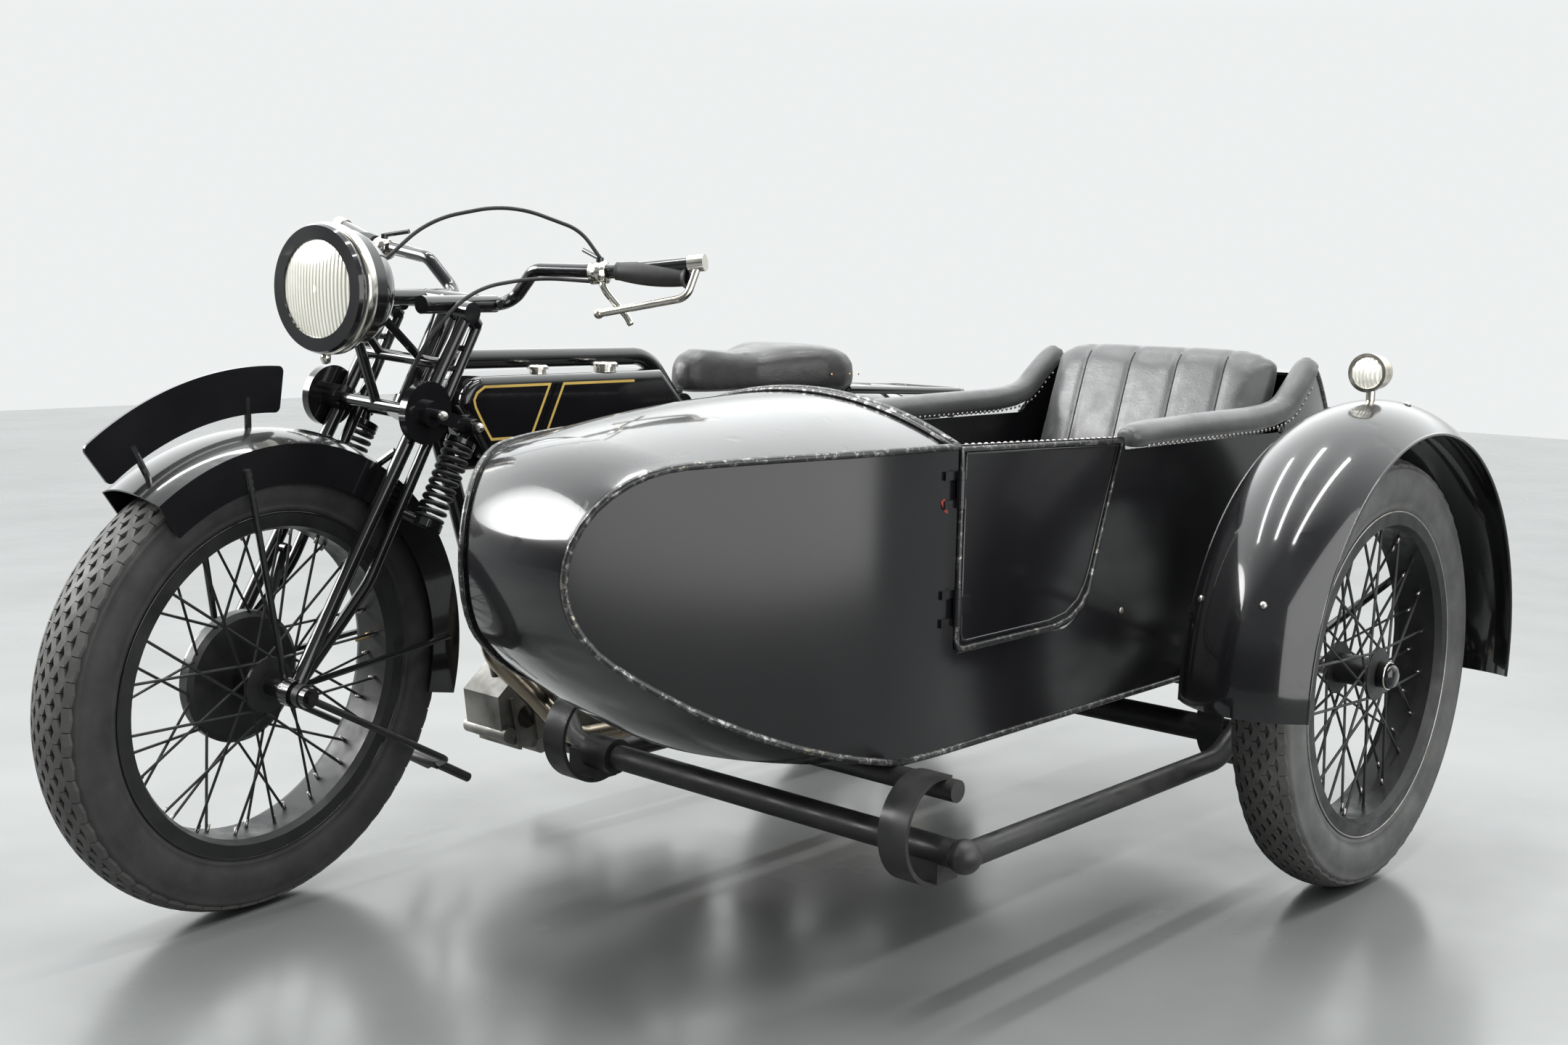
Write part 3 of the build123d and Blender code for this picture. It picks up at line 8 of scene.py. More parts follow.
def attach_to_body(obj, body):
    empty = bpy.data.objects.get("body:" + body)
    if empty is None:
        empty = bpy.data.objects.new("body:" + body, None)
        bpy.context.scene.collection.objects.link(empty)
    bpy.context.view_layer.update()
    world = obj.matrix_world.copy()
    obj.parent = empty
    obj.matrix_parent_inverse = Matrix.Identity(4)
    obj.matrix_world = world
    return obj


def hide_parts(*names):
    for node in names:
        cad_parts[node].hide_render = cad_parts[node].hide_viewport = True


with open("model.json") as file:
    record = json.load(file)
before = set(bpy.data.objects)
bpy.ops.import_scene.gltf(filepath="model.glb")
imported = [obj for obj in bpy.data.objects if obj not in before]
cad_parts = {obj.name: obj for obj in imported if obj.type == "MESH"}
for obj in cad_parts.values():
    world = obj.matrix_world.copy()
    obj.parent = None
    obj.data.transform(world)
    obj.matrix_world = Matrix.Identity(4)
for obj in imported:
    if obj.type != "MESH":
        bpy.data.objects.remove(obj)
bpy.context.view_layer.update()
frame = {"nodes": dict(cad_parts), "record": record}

MM = 0.001
scene = bpy.context.scene

# Sizes of the part: lengths in millimetres, RAKE and STEER_REST in radians, other angles in degrees
TYRE_R = 345.0
RIM_R = 259.0
RAKE, STEER_REST = math.radians(28), math.radians(9)
FORK_LENGTH, FORK_OFFSET = 647.0, 69.0
FRONT_AXLE = Vector((1420.0, 0.0, TYRE_R))
REAR_AXLE = Vector((0.0, 0.0, TYRE_R))
SIDE_AXLE = Vector((134.0, 1135.0, TYRE_R))
DOWN = Vector((math.sin(RAKE), 0, -math.cos(RAKE)))
FORE = Vector((math.cos(RAKE), 0, math.sin(RAKE)))
HEAD = FRONT_AXLE - DOWN * FORK_LENGTH - FORE * FORK_OFFSET
STEER = Matrix.Translation(HEAD) @ Matrix.Rotation(STEER_REST, 4, -DOWN) @ Matrix.Translation(-HEAD)
STILL = Matrix.Identity(4)
BODY_Y, BODY_HALF = 630.0, 270.0
COWL_X, CROWN_Z, FLOOR_Z = 900.0, 788.0, 318.0
ARCH_R, DECK_R, DECK_TURN, NOSE_R, NOSE_END, BELLY_R = 637.0, 2000.0, 12.0, 160.0, 135.0, 795.0
NOSE_SHARE, TAIL_SHARE, TAIL_X = 0.17, 0.65, -430.0
SIDE_TOP, ELBOW_TOP = 716.0, 700.0
DOOR_REAR, DOOR_SLANT, DOOR_BOTTOM, DOOR_CORNER = 482.0, 88.0, 447.0, 85.0


# Materials

class Shader:
    """A node material: one Principled surface with a chain of mixes before it."""

    def __init__(self, name):
        self.material = bpy.data.materials.new(name)
        self.material.use_nodes = True
        self.tree = self.material.node_tree
        self.surface = self.tree.nodes["Principled BSDF"]
        self.place = self.node("ShaderNodeTexCoord").outputs["Object"]

    def node(self, kind, links=(), **values):
        made = self.tree.nodes.new(kind)
        for key, value in values.items():
            setattr(made, key, value)
        for socket, source in links:
            if isinstance(source, bpy.types.NodeSocket):
                self.tree.links.new(source, made.inputs[socket])
            else:
                made.inputs[socket].default_value = source
        return made

    def noise(self, scale, detail=4.0, stretch=(1, 1, 1), rough=0.55):
        move = self.node("ShaderNodeMapping", [("Vector", self.place), ("Scale", stretch)])
        links = [("Vector", move.outputs[0]), ("Scale", scale), ("Detail", detail), ("Roughness", rough)]
        return self.node("ShaderNodeTexNoise", links).outputs["Fac"]

    def ramp(self, source, low, high, start=0.0, end=1.0):
        return self.node("ShaderNodeMapRange", [("Value", source), ("From Min", low), ("From Max", high),
                                                ("To Min", start), ("To Max", end)]).outputs[0]

    def mix(self, share, a, b):
        made = self.node("ShaderNodeMix", [(0, share)], data_type="RGBA")
        for index, source in ((6, a), (7, b)):
            if isinstance(source, bpy.types.NodeSocket):
                self.tree.links.new(source, made.inputs[index])
            else:
                made.inputs[index].default_value = (*source, 1)
        return made.outputs[2]

    def math(self, operation, a, b):
        return self.node("ShaderNodeMath", [(0, a), (1, b)], operation=operation).outputs[0]

    def bump(self, height, distance, before=None):
        links = [("Height", height), ("Distance", distance), ("Strength", 1.0)]
        if before:
            links.append(("Normal", before))
        return self.node("ShaderNodeBump", links).outputs[0]

    def set(self, **sockets):
        for key, source in sockets.items():
            socket = self.surface.inputs[key.replace("_", " ")]
            if isinstance(source, bpy.types.NodeSocket):
                self.tree.links.new(source, socket)
            else:
                socket.default_value = source
        return self.material

    def up_facing(self, low, high):
        """From 0 to 1 as the upward part of the surface's normal goes from low to high."""
        normal = self.node("ShaderNodeNewGeometry").outputs["Normal"]
        z = self.node("ShaderNodeSeparateXYZ", [(0, normal)]).outputs[2]
        return self.ramp(z, low, high)


DUST = (0.20, 0.19, 0.17)


def enamel(name, dark, pale, rough, dents, chips, dust, coat=1.0, gloss=0.06, under=0.2):
    """Gloss stove enamel: cloudy polish, shallow dents, chips to bare metal and dust on top."""
    s = Shader(name)
    colour = s.mix(s.ramp(s.noise(3.0, 3), 0.35, 0.7), dark, pale)
    chip = s.ramp(s.noise(70.0, 6, rough=0.7), chips, chips + 0.03)
    colour = s.mix(chip, colour, (0.12, 0.11, 0.10))
    film = s.math("MULTIPLY", s.up_facing(0.35, 1.0), s.ramp(s.noise(9.0, 5), 0.4, 0.75, 0.0, dust))
    colour = s.mix(film, colour, DUST)
    polish = s.ramp(s.noise(6.0, 5), 0.35, 0.75, rough[0], rough[1])
    ding = s.ramp(s.noise(21.0, 1), 0.68, 0.80)
    level = s.bump(s.math("ADD", s.noise(5.0, 2), s.math("MULTIPLY", ding, -0.7)), dents)
    return s.set(Base_Color=colour, Roughness=polish, Normal=level, Coat_Weight=coat, Coat_Roughness=gloss,
                 Specular_IOR_Level=under)


def worn_paint(name, dark, pale, rust, amount):
    """Thin old paint over steel, rubbed and rusty in patches."""
    s = Shader(name)
    colour = s.mix(s.ramp(s.noise(14.0, 5), 0.35, 0.7), dark, pale)
    colour = s.mix(s.ramp(s.noise(38.0, 6, rough=0.7), amount, amount + 0.12), colour, rust)
    return s.set(Base_Color=colour, Roughness=s.ramp(s.noise(24.0, 5), 0.3, 0.7, 0.28, 0.62),
                 Normal=s.bump(s.noise(180.0, 4), 0.00008))


def plate(name, bright, stain, rough, scale=16.0, share=(0.5, 0.75)):
    """Plated or bare metal with stains; share is the range of the noise over which they come in."""
    s = Shader(name)
    colour = s.mix(s.ramp(s.noise(scale, 6, rough=0.65), *share), bright, stain)
    return s.set(Base_Color=colour, Metallic=1.0,
                 Roughness=s.ramp(s.noise(scale * 2, 5), 0.3, 0.75, *rough),
                 Normal=s.bump(s.noise(210.0, 3), 0.00003))


def casting(name, light, dark):
    """Sand-cast alloy with oil stains in patches."""
    s = Shader(name)
    colour = s.mix(s.ramp(s.noise(11.0, 6), 0.42, 0.68), light, dark)
    return s.set(Base_Color=colour, Metallic=0.85, Roughness=s.ramp(s.noise(30.0, 4), 0.3, 0.7, 0.38, 0.62),
                 Normal=s.bump(s.noise(420.0, 4), 0.00012))


def matt(name, dark, pale, dust, grain=0.00008):
    """Matt rubber, thread or line paint: cloudy, finely grained and a little dusty."""
    s = Shader(name)
    colour = s.mix(s.ramp(s.noise(18.0, 5), 0.35, 0.7), dark, pale)
    colour = s.mix(s.ramp(s.noise(60.0, 6), 0.5, 0.8, 0.0, dust), colour, DUST)
    return s.set(Base_Color=colour, Roughness=s.ramp(s.noise(40.0, 4), 0.3, 0.7, 0.52, 0.72),
                 Normal=s.bump(s.noise(340.0, 4), grain))


def leather(name, dark, pale, rough):
    """Old hide: fine pebble grain, soft creases, and greyer upward faces, partly rubbed wear and partly
    painted sheen.
    """
    s = Shader(name)
    grain = s.node("ShaderNodeTexVoronoi", [("Vector", s.place), ("Scale", 420.0)], feature="SMOOTH_F1")
    colour = s.mix(s.ramp(s.noise(7.0, 5), 0.38, 0.68), dark, pale)
    # Upward faces painted greyer in patches: partly rubbed wear, partly a painted sheen from the light above
    colour = s.mix(s.math("MULTIPLY", s.up_facing(0.2, 1.0), s.ramp(s.noise(22.0, 6), 0.42, 0.8, 0.0, 0.35)),
                   colour, (0.11, 0.11, 0.108))
    crease = s.bump(s.noise(34.0, 5, (1, 1, 2.2), 0.62), 0.0006)
    return s.set(Base_Color=colour, Roughness=s.ramp(s.noise(26.0, 4), 0.3, 0.7, *rough),
                 Normal=s.bump(grain.outputs[0], 0.00016, crease), Sheen_Weight=0.12)


def fluted(name):
    """Cream lamp glass with upright flutes, painted shade banded along them, and cloudy age."""
    s = Shader(name)
    flutes = s.node("ShaderNodeTexWave", [("Vector", s.place), ("Scale", 46.0), ("Distortion", 0.0)],
                    bands_direction="Y", wave_profile="SIN").outputs["Fac"]
    colour = s.mix(s.ramp(s.noise(12.0, 4), 0.3, 0.75), (0.86, 0.85, 0.78), (0.70, 0.68, 0.58))
    # Colour darker in bands that follow the flutes' relief: painted shade across the flutes
    colour = s.mix(s.ramp(flutes, 0.0, 1.0, 0.0, 0.35), colour, (0.46, 0.45, 0.38))
    return s.set(Base_Color=colour, Roughness=s.ramp(s.noise(30.0, 3), 0.2, 0.8, 0.10, 0.24),
                 Normal=s.bump(flutes, 0.0012), Metallic=0.35, Coat_Weight=0.8, Coat_Roughness=0.04)


def beading(name):
    """Half-round moulding: old silver and brassy patches showing through rubbed black."""
    s = Shader(name)
    metal = s.mix(s.ramp(s.noise(11.0, 5), 0.50, 0.70), (0.34, 0.34, 0.33), (0.32, 0.27, 0.17))
    bare = s.ramp(s.noise(90.0, 7, rough=0.75), 0.52, 0.62, 0.0, 0.85)
    return s.set(Base_Color=s.mix(bare, (0.030, 0.030, 0.031), metal),
                 Metallic=s.ramp(bare, 0, 1, 0.35, 0.95),
                 Roughness=s.ramp(s.noise(50.0, 4), 0.3, 0.7, 0.16, 0.34),
                 Normal=s.bump(s.noise(150.0, 4), 0.0001))


BLACK, DEEP = (0.010, 0.010, 0.011), (0.005, 0.005, 0.006)
slots = {
    "black_enamel": enamel("black_enamel", DEEP, BLACK, (0.16, 0.34), 0.0008, 0.76, 0.030),
    "tank_enamel": enamel("tank_enamel", DEEP, BLACK, (0.10, 0.24), 0.0004, 0.78, 0.030),
    "worn_black": worn_paint("worn_black", BLACK, (0.024, 0.023, 0.022), (0.085, 0.062, 0.045), 0.64),
    "spring_steel": worn_paint("spring_steel", BLACK, (0.018, 0.018, 0.019), (0.07, 0.06, 0.05), 0.68),
    "black_wheel": worn_paint("black_wheel", BLACK, (0.018, 0.018, 0.019), (0.12, 0.115, 0.11), 0.66),
    "tyre": matt("tyre", (0.026, 0.026, 0.026), (0.042, 0.042, 0.041), 0.08),
    "nickel": plate("nickel", (0.70, 0.68, 0.62), (0.42, 0.37, 0.29), (0.10, 0.30)),
    "bar_black": enamel("bar_black", DEEP, BLACK, (0.14, 0.34), 0.0002, 0.74, 0.03),
    "grip_rubber": matt("grip_rubber", (0.010, 0.010, 0.010), (0.018, 0.018, 0.018), 0.05),
    "lens_glass": fluted("lens_glass"),
    "cast_alloy": casting("cast_alloy", (0.27, 0.265, 0.25), (0.10, 0.095, 0.085)),
    "cylinder_iron": worn_paint("cylinder_iron", (0.026, 0.025, 0.024), (0.05, 0.048, 0.045),
                                (0.11, 0.08, 0.06), 0.6),
    "exhaust_nickel": plate("exhaust_nickel", (0.52, 0.46, 0.37), (0.30, 0.24, 0.17), (0.16, 0.36), 9.0,
                            (0.4, 0.7)),
    "saddle_leather": leather("saddle_leather", (0.024, 0.024, 0.024), (0.042, 0.041, 0.040), (0.28, 0.46)),
    "seat_leather": leather("seat_leather", (0.040, 0.041, 0.042), (0.066, 0.067, 0.068), (0.30, 0.44)),
}
panel_enamel = enamel("panel_enamel", DEEP, BLACK, (0.24, 0.40), 0.0012, 0.77, 0.030, 1.0, 0.17, 0.0)
bead_metal = beading("worn_bead")
gold = matt("gold_line", (0.66, 0.46, 0.11), (0.52, 0.35, 0.08), 0.04, 0.00002)
brass = plate("old_brass", (0.50, 0.36, 0.16), (0.24, 0.16, 0.08), (0.25, 0.5), 90.0)
steel = plate("old_steel", (0.42, 0.41, 0.39), (0.20, 0.17, 0.14), (0.25, 0.5), 60.0)
grey_tyre = matt("grey_tyre", (0.066, 0.068, 0.066), (0.105, 0.107, 0.104), 0.10)
tread_rubber = matt("tread_rubber", (0.052, 0.052, 0.050), (0.080, 0.079, 0.075), 0.25)
# Seam threads: the stitching's own dark colour, and also painted shade standing in for sewn channels too
# narrow for the mesh
thread_and_channel_shade = matt("seam_thread", (0.008, 0.008, 0.008), (0.014, 0.014, 0.013), 0.05)
paint_spot = matt("red_spot", (0.30, 0.040, 0.022), (0.20, 0.030, 0.018), 0.1)

slot_of = {row["node"]: row["material_slot"] for row in frame["record"]["subparts"]}
for name, obj in frame["nodes"].items():
    obj.data.materials.clear()
    obj.data.materials.append(slots[slot_of[name]])
for name, material in (("headlamp_ring", slots["black_enamel"]), ("front_axle", slots["bar_black"]),
                       ("rear_axle", slots["bar_black"]), ("primary_case", slots["black_enamel"]),
                       ("body_side_left", panel_enamel), ("body_side_right", panel_enamel),
                       ("door", panel_enamel)):
    frame["nodes"][name].data.materials.clear()
    frame["nodes"][name].data.materials.append(material)


# Mesh helpers: millimetre points in, metres out

def build(name, points, faces, material, move=STILL, smooth=True):
    """A mesh object from points and faces, moved to its place."""
    mesh = bpy.data.meshes.new(name)
    mesh.from_pydata([(move @ Vector(p)) * MM for p in points], [], faces)
    mesh.validate()
    if smooth:
        mesh.shade_smooth()
    mesh.materials.append(material)
    obj = bpy.data.objects.new(name, mesh)
    scene.collection.objects.link(obj)
    return obj


def attach(obj, body, slot, *nodes):
    """Rides a piece on its body, in place of the CAD nodes named; the slot argument is not used."""
    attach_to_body(obj, body)
    if nodes:
        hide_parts(*nodes)
    return obj


def merge(lists):
    """One list of points and faces from several."""
    points, faces = [], []
    for p, f in lists:
        base = len(points)
        points += p
        faces += [[i + base for i in face] for face in f]
    return points, faces


def rings(loops, closed=False):
    """A skin over loops of equal length, with flat ends or, where closed, back to the first loop."""
    count = len(loops[0])
    points = [p for loop in loops for p in loop]
    faces = []
    for i in range(len(loops) if closed else len(loops) - 1):
        j = (i + 1) % len(loops)
        for k in range(count):
            n = (k + 1) % count
            faces.append([i * count + k, i * count + n, j * count + n, j * count + k])
    if not closed:
        faces.append(list(range(count))[::-1])
        faces.append([(len(loops) - 1) * count + k for k in range(count)])
    return points, faces


def bar(line, r, sides=8, closed=False):
    """A round bar along a line of points; r may be one radius or one for each point."""
    line = [Vector(p) for p in line]
    count = len(line)
    radii = r if isinstance(r, (list, tuple)) else [r] * count
    turns = [2 * math.pi * k / sides for k in range(sides)]
    loops = []
    side = None
    for i, p in enumerate(line):
        ahead = line[(i + 1) % count] if closed or i < count - 1 else p
        behind = line[i - 1] if closed or i > 0 else p
        along = (ahead - behind).normalized()
        if side is None:
            side = along.orthogonal().normalized()
        side = (side - along * side.dot(along)).normalized()
        other = along.cross(side)
        loops.append([p + (side * math.cos(a) + other * math.sin(a)) * radii[i] for a in turns])
    return rings(loops, closed)


def lathe(profile, steps, closed=False):
    """Turns (radius, Y) points, listed counterclockwise, about the Y axis; an open profile gets flat ends."""
    points, faces = [], []
    count = len(profile)
    for i in range(steps):
        a = 2 * math.pi * i / steps
        for r, y in profile:
            points.append((r * math.cos(a), y, r * math.sin(a)))
    for i in range(steps):
        j = (i + 1) % steps
        for k in range(count if closed else count - 1):
            n = (k + 1) % count
            faces.append([i * count + k, i * count + n, j * count + n, j * count + k])
    if not closed:
        faces.append([i * count for i in range(steps)])
        faces.append([i * count + count - 1 for i in range(steps)][::-1])
    return points, faces


def wire_ring(r, y, wire, steps):
    """A round wire bent to a ring about the Y axis."""
    corners = [k * math.pi / 3 for k in range(6)]
    return lathe([(r + wire * math.cos(t), y + wire * math.sin(t)) for t in corners], steps, True)


def bend(line, steps=6):
    """A smooth line through the points (Catmull-Rom)."""
    line = [Vector(p) for p in line]
    ends = [line[0] * 2 - line[1], *line, line[-1] * 2 - line[-2]]
    out = []
    for a, b, c, d in zip(ends, ends[1:], ends[2:], ends[3:]):
        for i in range(steps):
            t = i / steps
            out.append(0.5 * (2 * b + (c - a) * t + (2 * a - 5 * b + 4 * c - d) * t * t
                              + (3 * b - a - 3 * c + d) * t ** 3))
    return out + [line[-1]]


def spaced(line, gap):
    """Points at equal steps along a line."""
    line = [Vector(p) for p in line]
    out, carry = [], gap / 2
    for a, b in zip(line, line[1:]):
        length = (b - a).length
        while carry < length:
            out.append(a.lerp(b, carry / length))
            carry += gap
        carry -= length
    return out


def repeat(name, unit, places, move=STILL, size=1.0):
    """Instances of a unit at (point, way of its Z or whole turn) places, by geometry nodes, made real."""
    turn = move.to_3x3()
    mesh = bpy.data.meshes.new(name + "_places")
    mesh.from_pydata([(move @ Vector(p)) * MM for p, _ in places], [], [])
    store = mesh.attributes.new("turn", "FLOAT_VECTOR", "POINT")
    for i, (_, way) in enumerate(places):
        whole = isinstance(way, Quaternion)
        quat = turn.to_quaternion() @ way if whole else (turn @ Vector(way)).to_track_quat("Z", "Y")
        store.data[i].vector = quat.to_euler()
    obj = bpy.data.objects.new(name, mesh)
    scene.collection.objects.link(obj)

    tree = bpy.data.node_groups.new(name + "_repeat", "GeometryNodeTree")
    socket = tree.interface.new_socket
    socket("Places", in_out="INPUT", socket_type="NodeSocketGeometry")
    inputs = {"Unit": socket("Unit", in_out="INPUT", socket_type="NodeSocketObject"),
              "Size": socket("Size", in_out="INPUT", socket_type="NodeSocketFloat"),
              "Finish": socket("Finish", in_out="INPUT", socket_type="NodeSocketMaterial")}
    socket("Pieces", in_out="OUTPUT", socket_type="NodeSocketGeometry")
    start, end = tree.nodes.new("NodeGroupInput"), tree.nodes.new("NodeGroupOutput")
    what, put = tree.nodes.new("GeometryNodeObjectInfo"), tree.nodes.new("GeometryNodeInstanceOnPoints")
    read = tree.nodes.new("GeometryNodeInputNamedAttribute")
    euler = tree.nodes.new("FunctionNodeEulerToRotation")
    real, coat = tree.nodes.new("GeometryNodeRealizeInstances"), tree.nodes.new("GeometryNodeSetMaterial")
    read.data_type = "FLOAT_VECTOR"
    read.inputs["Name"].default_value = "turn"
    link = tree.links.new
    link(start.outputs["Places"], put.inputs["Points"])
    link(start.outputs["Unit"], what.inputs["Object"])
    link(what.outputs["Geometry"], put.inputs["Instance"])
    link(read.outputs["Attribute"], euler.inputs[0])
    link(euler.outputs[0], put.inputs["Rotation"])
    link(start.outputs["Size"], put.inputs["Scale"])
    link(put.outputs[0], real.inputs[0])
    link(real.outputs[0], coat.inputs["Geometry"])
    link(start.outputs["Finish"], coat.inputs["Material"])
    link(coat.outputs[0], end.inputs[0])
    modifier = obj.modifiers.new("repeat", "NODES")
    modifier.node_group = tree
    for label, value in (("Unit", unit), ("Size", size), ("Finish", unit.data.materials[0])):
        modifier[inputs[label].identifier] = value
    bake(obj)
    bpy.data.objects.remove(unit)
    return obj


def bake(obj):
    """Turns the modifiers' result into the object's own mesh."""
    made = bpy.data.meshes.new_from_object(obj.evaluated_get(bpy.context.evaluated_depsgraph_get()))
    obj.modifiers.clear()
    obj.data = made


# Tyres, treads and spoke nipples

# Half section of the casing as (radius, Y) from the bead to the crown
SIDEWALL = [(240, 37), (257, 37.2), (262, 40.4), (265, 42.6), (268.5, 43.2), (271, 42.6), (276, 46.4),
            (286, 49.2), (298, 50), (312, 48.8), (321, 46.4), (323, 47.0), (326, 46.2), (328, 43.4),
            (333, 36), (336, 26), (338, 12), (338.5, 0)]
NIPPLES, NIPPLE_AT, NIPPLE_OUT, RIM_HALF, LIP_R = 40, 226, 10, 41, 1.6
TREADS, ROWS, ROW_W, ZIG, EDGE_ZIG, SLIT = 62, 7, 12.4, 3.4, 1.2, 1.0
TREAD_DEPTH, TREAD_HALF, SHOULDER_DROP = 8.5, 43.4, 12.5


def tread_slice():
    """One pitch of zigzag tread blocks on the crown of the tyre, starting on +X."""
    pitch = 2 * math.pi * TYRE_R / TREADS
    lists = []
    for row in range(ROWS):
        low = (row - ROWS / 2) * ROW_W + SLIT
        high = low + ROW_W - 2 * SLIT
        shift = pitch / 2 if row % 2 else 0.0
        a, b, c = SLIT * 0.7, pitch / 2, pitch - SLIT * 0.7
        zig = ZIG if 0 < row < ROWS - 1 else EDGE_ZIG
        flat = [(a, low - zig), (b, low + zig), (c, low - zig),
                (c, high - zig), (b, high + zig), (a, high - zig)]
        points = []
        for depth in (0.0, TREAD_DEPTH):
            for s, y in flat:
                r = TYRE_R - SHOULDER_DROP * (abs(y) / TREAD_HALF) ** 2.2 - depth
                angle = (s + shift) / TYRE_R
                points.append((r * math.cos(angle), y, r * math.sin(angle)))
        faces = [[5, 4, 1, 0], [4, 3, 2, 1], [6, 7, 10, 11], [7, 8, 9, 10]]
        faces += [[k, (k + 1) % 6, 6 + (k + 1) % 6, 6 + k] for k in range(6)]
        lists.append((points, faces))
    return merge(lists)


def nipple():
    """Spoke nipple, its thin end along Z."""
    return bar([(0, 0, -7), (0, 0, -2), (0, 0, 6)], [3.1, 3.1, 2.5], 6)


AT_FRONT = STEER @ Matrix.Translation(FRONT_AXLE)
AT_REAR, AT_SIDE = Matrix.Translation(REAR_AXLE), Matrix.Translation(SIDE_AXLE)
casing = lathe([(r, -y) for r, y in SIDEWALL] + SIDEWALL[-2::-1], 128, True)
for wheel, at, body, skin in (("front", AT_FRONT, "front_wheel", slots["tyre"]),
                              ("rear", AT_REAR, "rear_wheel", slots["tyre"]),
                              ("side", AT_SIDE, "sidecar_wheel", grey_tyre)):
    attach(build("tyre_casing_" + wheel, *casing, skin, at), body, "tyre", "tyre_" + wheel)
    unit = build("unit", *tread_slice(), tread_rubber, smooth=False)
    turns = [Matrix.Rotation(2 * math.pi * i / TREADS, 3, "Y").to_quaternion() for i in range(TREADS)]
    around = [(Vector(), turn) for turn in turns]
    attach(repeat("tread_" + wheel, unit, around, at), body, "tyre")
    ends = []
    for i in range(NIPPLES):
        a = 2 * math.pi * i / NIPPLES
        out = Vector((math.cos(a), 0, math.sin(a)))
        ends.append((out * NIPPLE_AT + Vector((0, NIPPLE_OUT if i % 2 else -NIPPLE_OUT, 0)), -out))
    unit = build("unit", *nipple(), steel)
    attach(repeat("nipples_" + wheel, unit, ends, at), body, "black_wheel")
    lips = merge([wire_ring(RIM_R, side * RIM_HALF, LIP_R, 128) for side in (1, -1)])
    lip_metal = steel if wheel == "side" else slots["bar_black"]
    attach(build("rim_lips_" + wheel, *lips, lip_metal, at), body, "black_wheel")

# Valve stem of the front tyre, and the sidecar wheel's hub cap with its pale ring
VALVE_TURN, RING_R, RING_Y, RING_WIRE = math.radians(-82), 21.5, 52, 1.8
valve = bar([(0, 0, 231), (0, 0, 221), (0, 0, 220), (0, 0, 199)], [5, 5, 3.4, 3.4], 8)
attach(build("valve_front", *valve, brass, AT_FRONT @ Matrix.Rotation(VALVE_TURN, 4, "Y")), "front_wheel",
       "nickel")
dome = [(0.2, 38.6), (20.5, 38.6), (20.5, 54), (19, 59.5), (15, 63.4), (8, 65.6), (0.2, 66)]
attach(build("hub_cap_side", *lathe(dome, 32), slots["bar_black"], AT_SIDE), "outfit", "nickel")
hub_ring = wire_ring(RING_R, RING_Y, RING_WIRE, 48)
attach(build("hub_ring_side", *hub_ring, slots["nickel"], AT_SIDE), "outfit", "nickel")


# Coil springs of round wire
COIL_R, WIRE_R, FORK_TURNS, SADDLE_TURNS = 20, 3.9, 9, 3
FORK_COIL_TOP, FORK_COIL_END, FORK_COIL_FORE, FORK_COIL_Y = 204, 332, -30, 108
SADDLE_COIL_X, SADDLE_COIL_Y, SADDLE_COIL_LOW, SADDLE_COIL_HIGH = 240, 72, 696, 752


def fork_point(down, fore, y):
    """A point of the fork before it is steered: down along the head, fore of it, and to the left."""
    return HEAD + DOWN * down + FORE * fore + Vector((0, y, 0))


def helix(start, end, r, wire, turns):
    """Round-wire spring with closed end coils."""
    along = (end - start).normalized()
    side = along.orthogonal().normalized()
    other = along.cross(side)
    length = (end - start).length - 2 * wire
    steps = int(turns * 16) + 32
    line = []
    for i in range(steps + 1):
        t = i / steps
        rise = length * min(1, max(0, (t - 0.06) / 0.88)) + wire
        a = 2 * math.pi * (turns + 2) * t
        line.append(start + along * rise + (side * math.cos(a) + other * math.sin(a)) * r)
    return bar(line, wire, 8)


for name, side in (("left", 1), ("right", -1)):
    top, end = (fork_point(down, FORK_COIL_FORE, side * FORK_COIL_Y)
                for down in (FORK_COIL_TOP, FORK_COIL_END))
    coil = helix(top, end, COIL_R, WIRE_R, FORK_TURNS)
    attach(build("coil_fork_" + name, *coil, slots["spring_steel"], STEER), "steering", "spring_steel",
           "fork_spring_" + name)
coils = []
for y in (SADDLE_COIL_Y, -SADDLE_COIL_Y):
    low, high = (Vector((SADDLE_COIL_X, y, z)) for z in (SADDLE_COIL_LOW, SADDLE_COIL_HIGH))
    coils.append(helix(low, high, COIL_R, WIRE_R, SADDLE_TURNS))
attach(build("coils_saddle", *merge(coils), slots["spring_steel"]), "outfit", "spring_steel",
       "saddle_springs")


# Half-round beads on the sidecar's panel edges

def drop(dy):
    """Fall of the deck's arch at dy from its middle."""
    return ARCH_R - math.sqrt(ARCH_R ** 2 - dy * dy)


a, b = math.radians(DECK_TURN), math.radians(NOSE_END)
DECK_C = Vector((COWL_X, 0, CROWN_Z - DECK_R))
NOSE_C = DECK_C + Vector((math.sin(a), 0, math.cos(a))) * (DECK_R - NOSE_R)
BELLY_C = NOSE_C - Vector((math.sin(b), 0, math.cos(b))) * (BELLY_R - NOSE_R)
FRONT_LIMIT = NOSE_C.x + NOSE_R + 60


def half_at(x):
    """Half width of the body at X."""
    for start, length, share in ((x - COWL_X, FRONT_LIMIT - COWL_X, NOSE_SHARE), (-x, -TAIL_X, TAIL_SHARE)):
        if start > 0:
            full = BODY_HALF * (1 - share)
            r = (length ** 2 + full ** 2) / (2 * full)
            return BODY_HALF - (r - math.sqrt(r ** 2 - start ** 2))
    return BODY_HALF


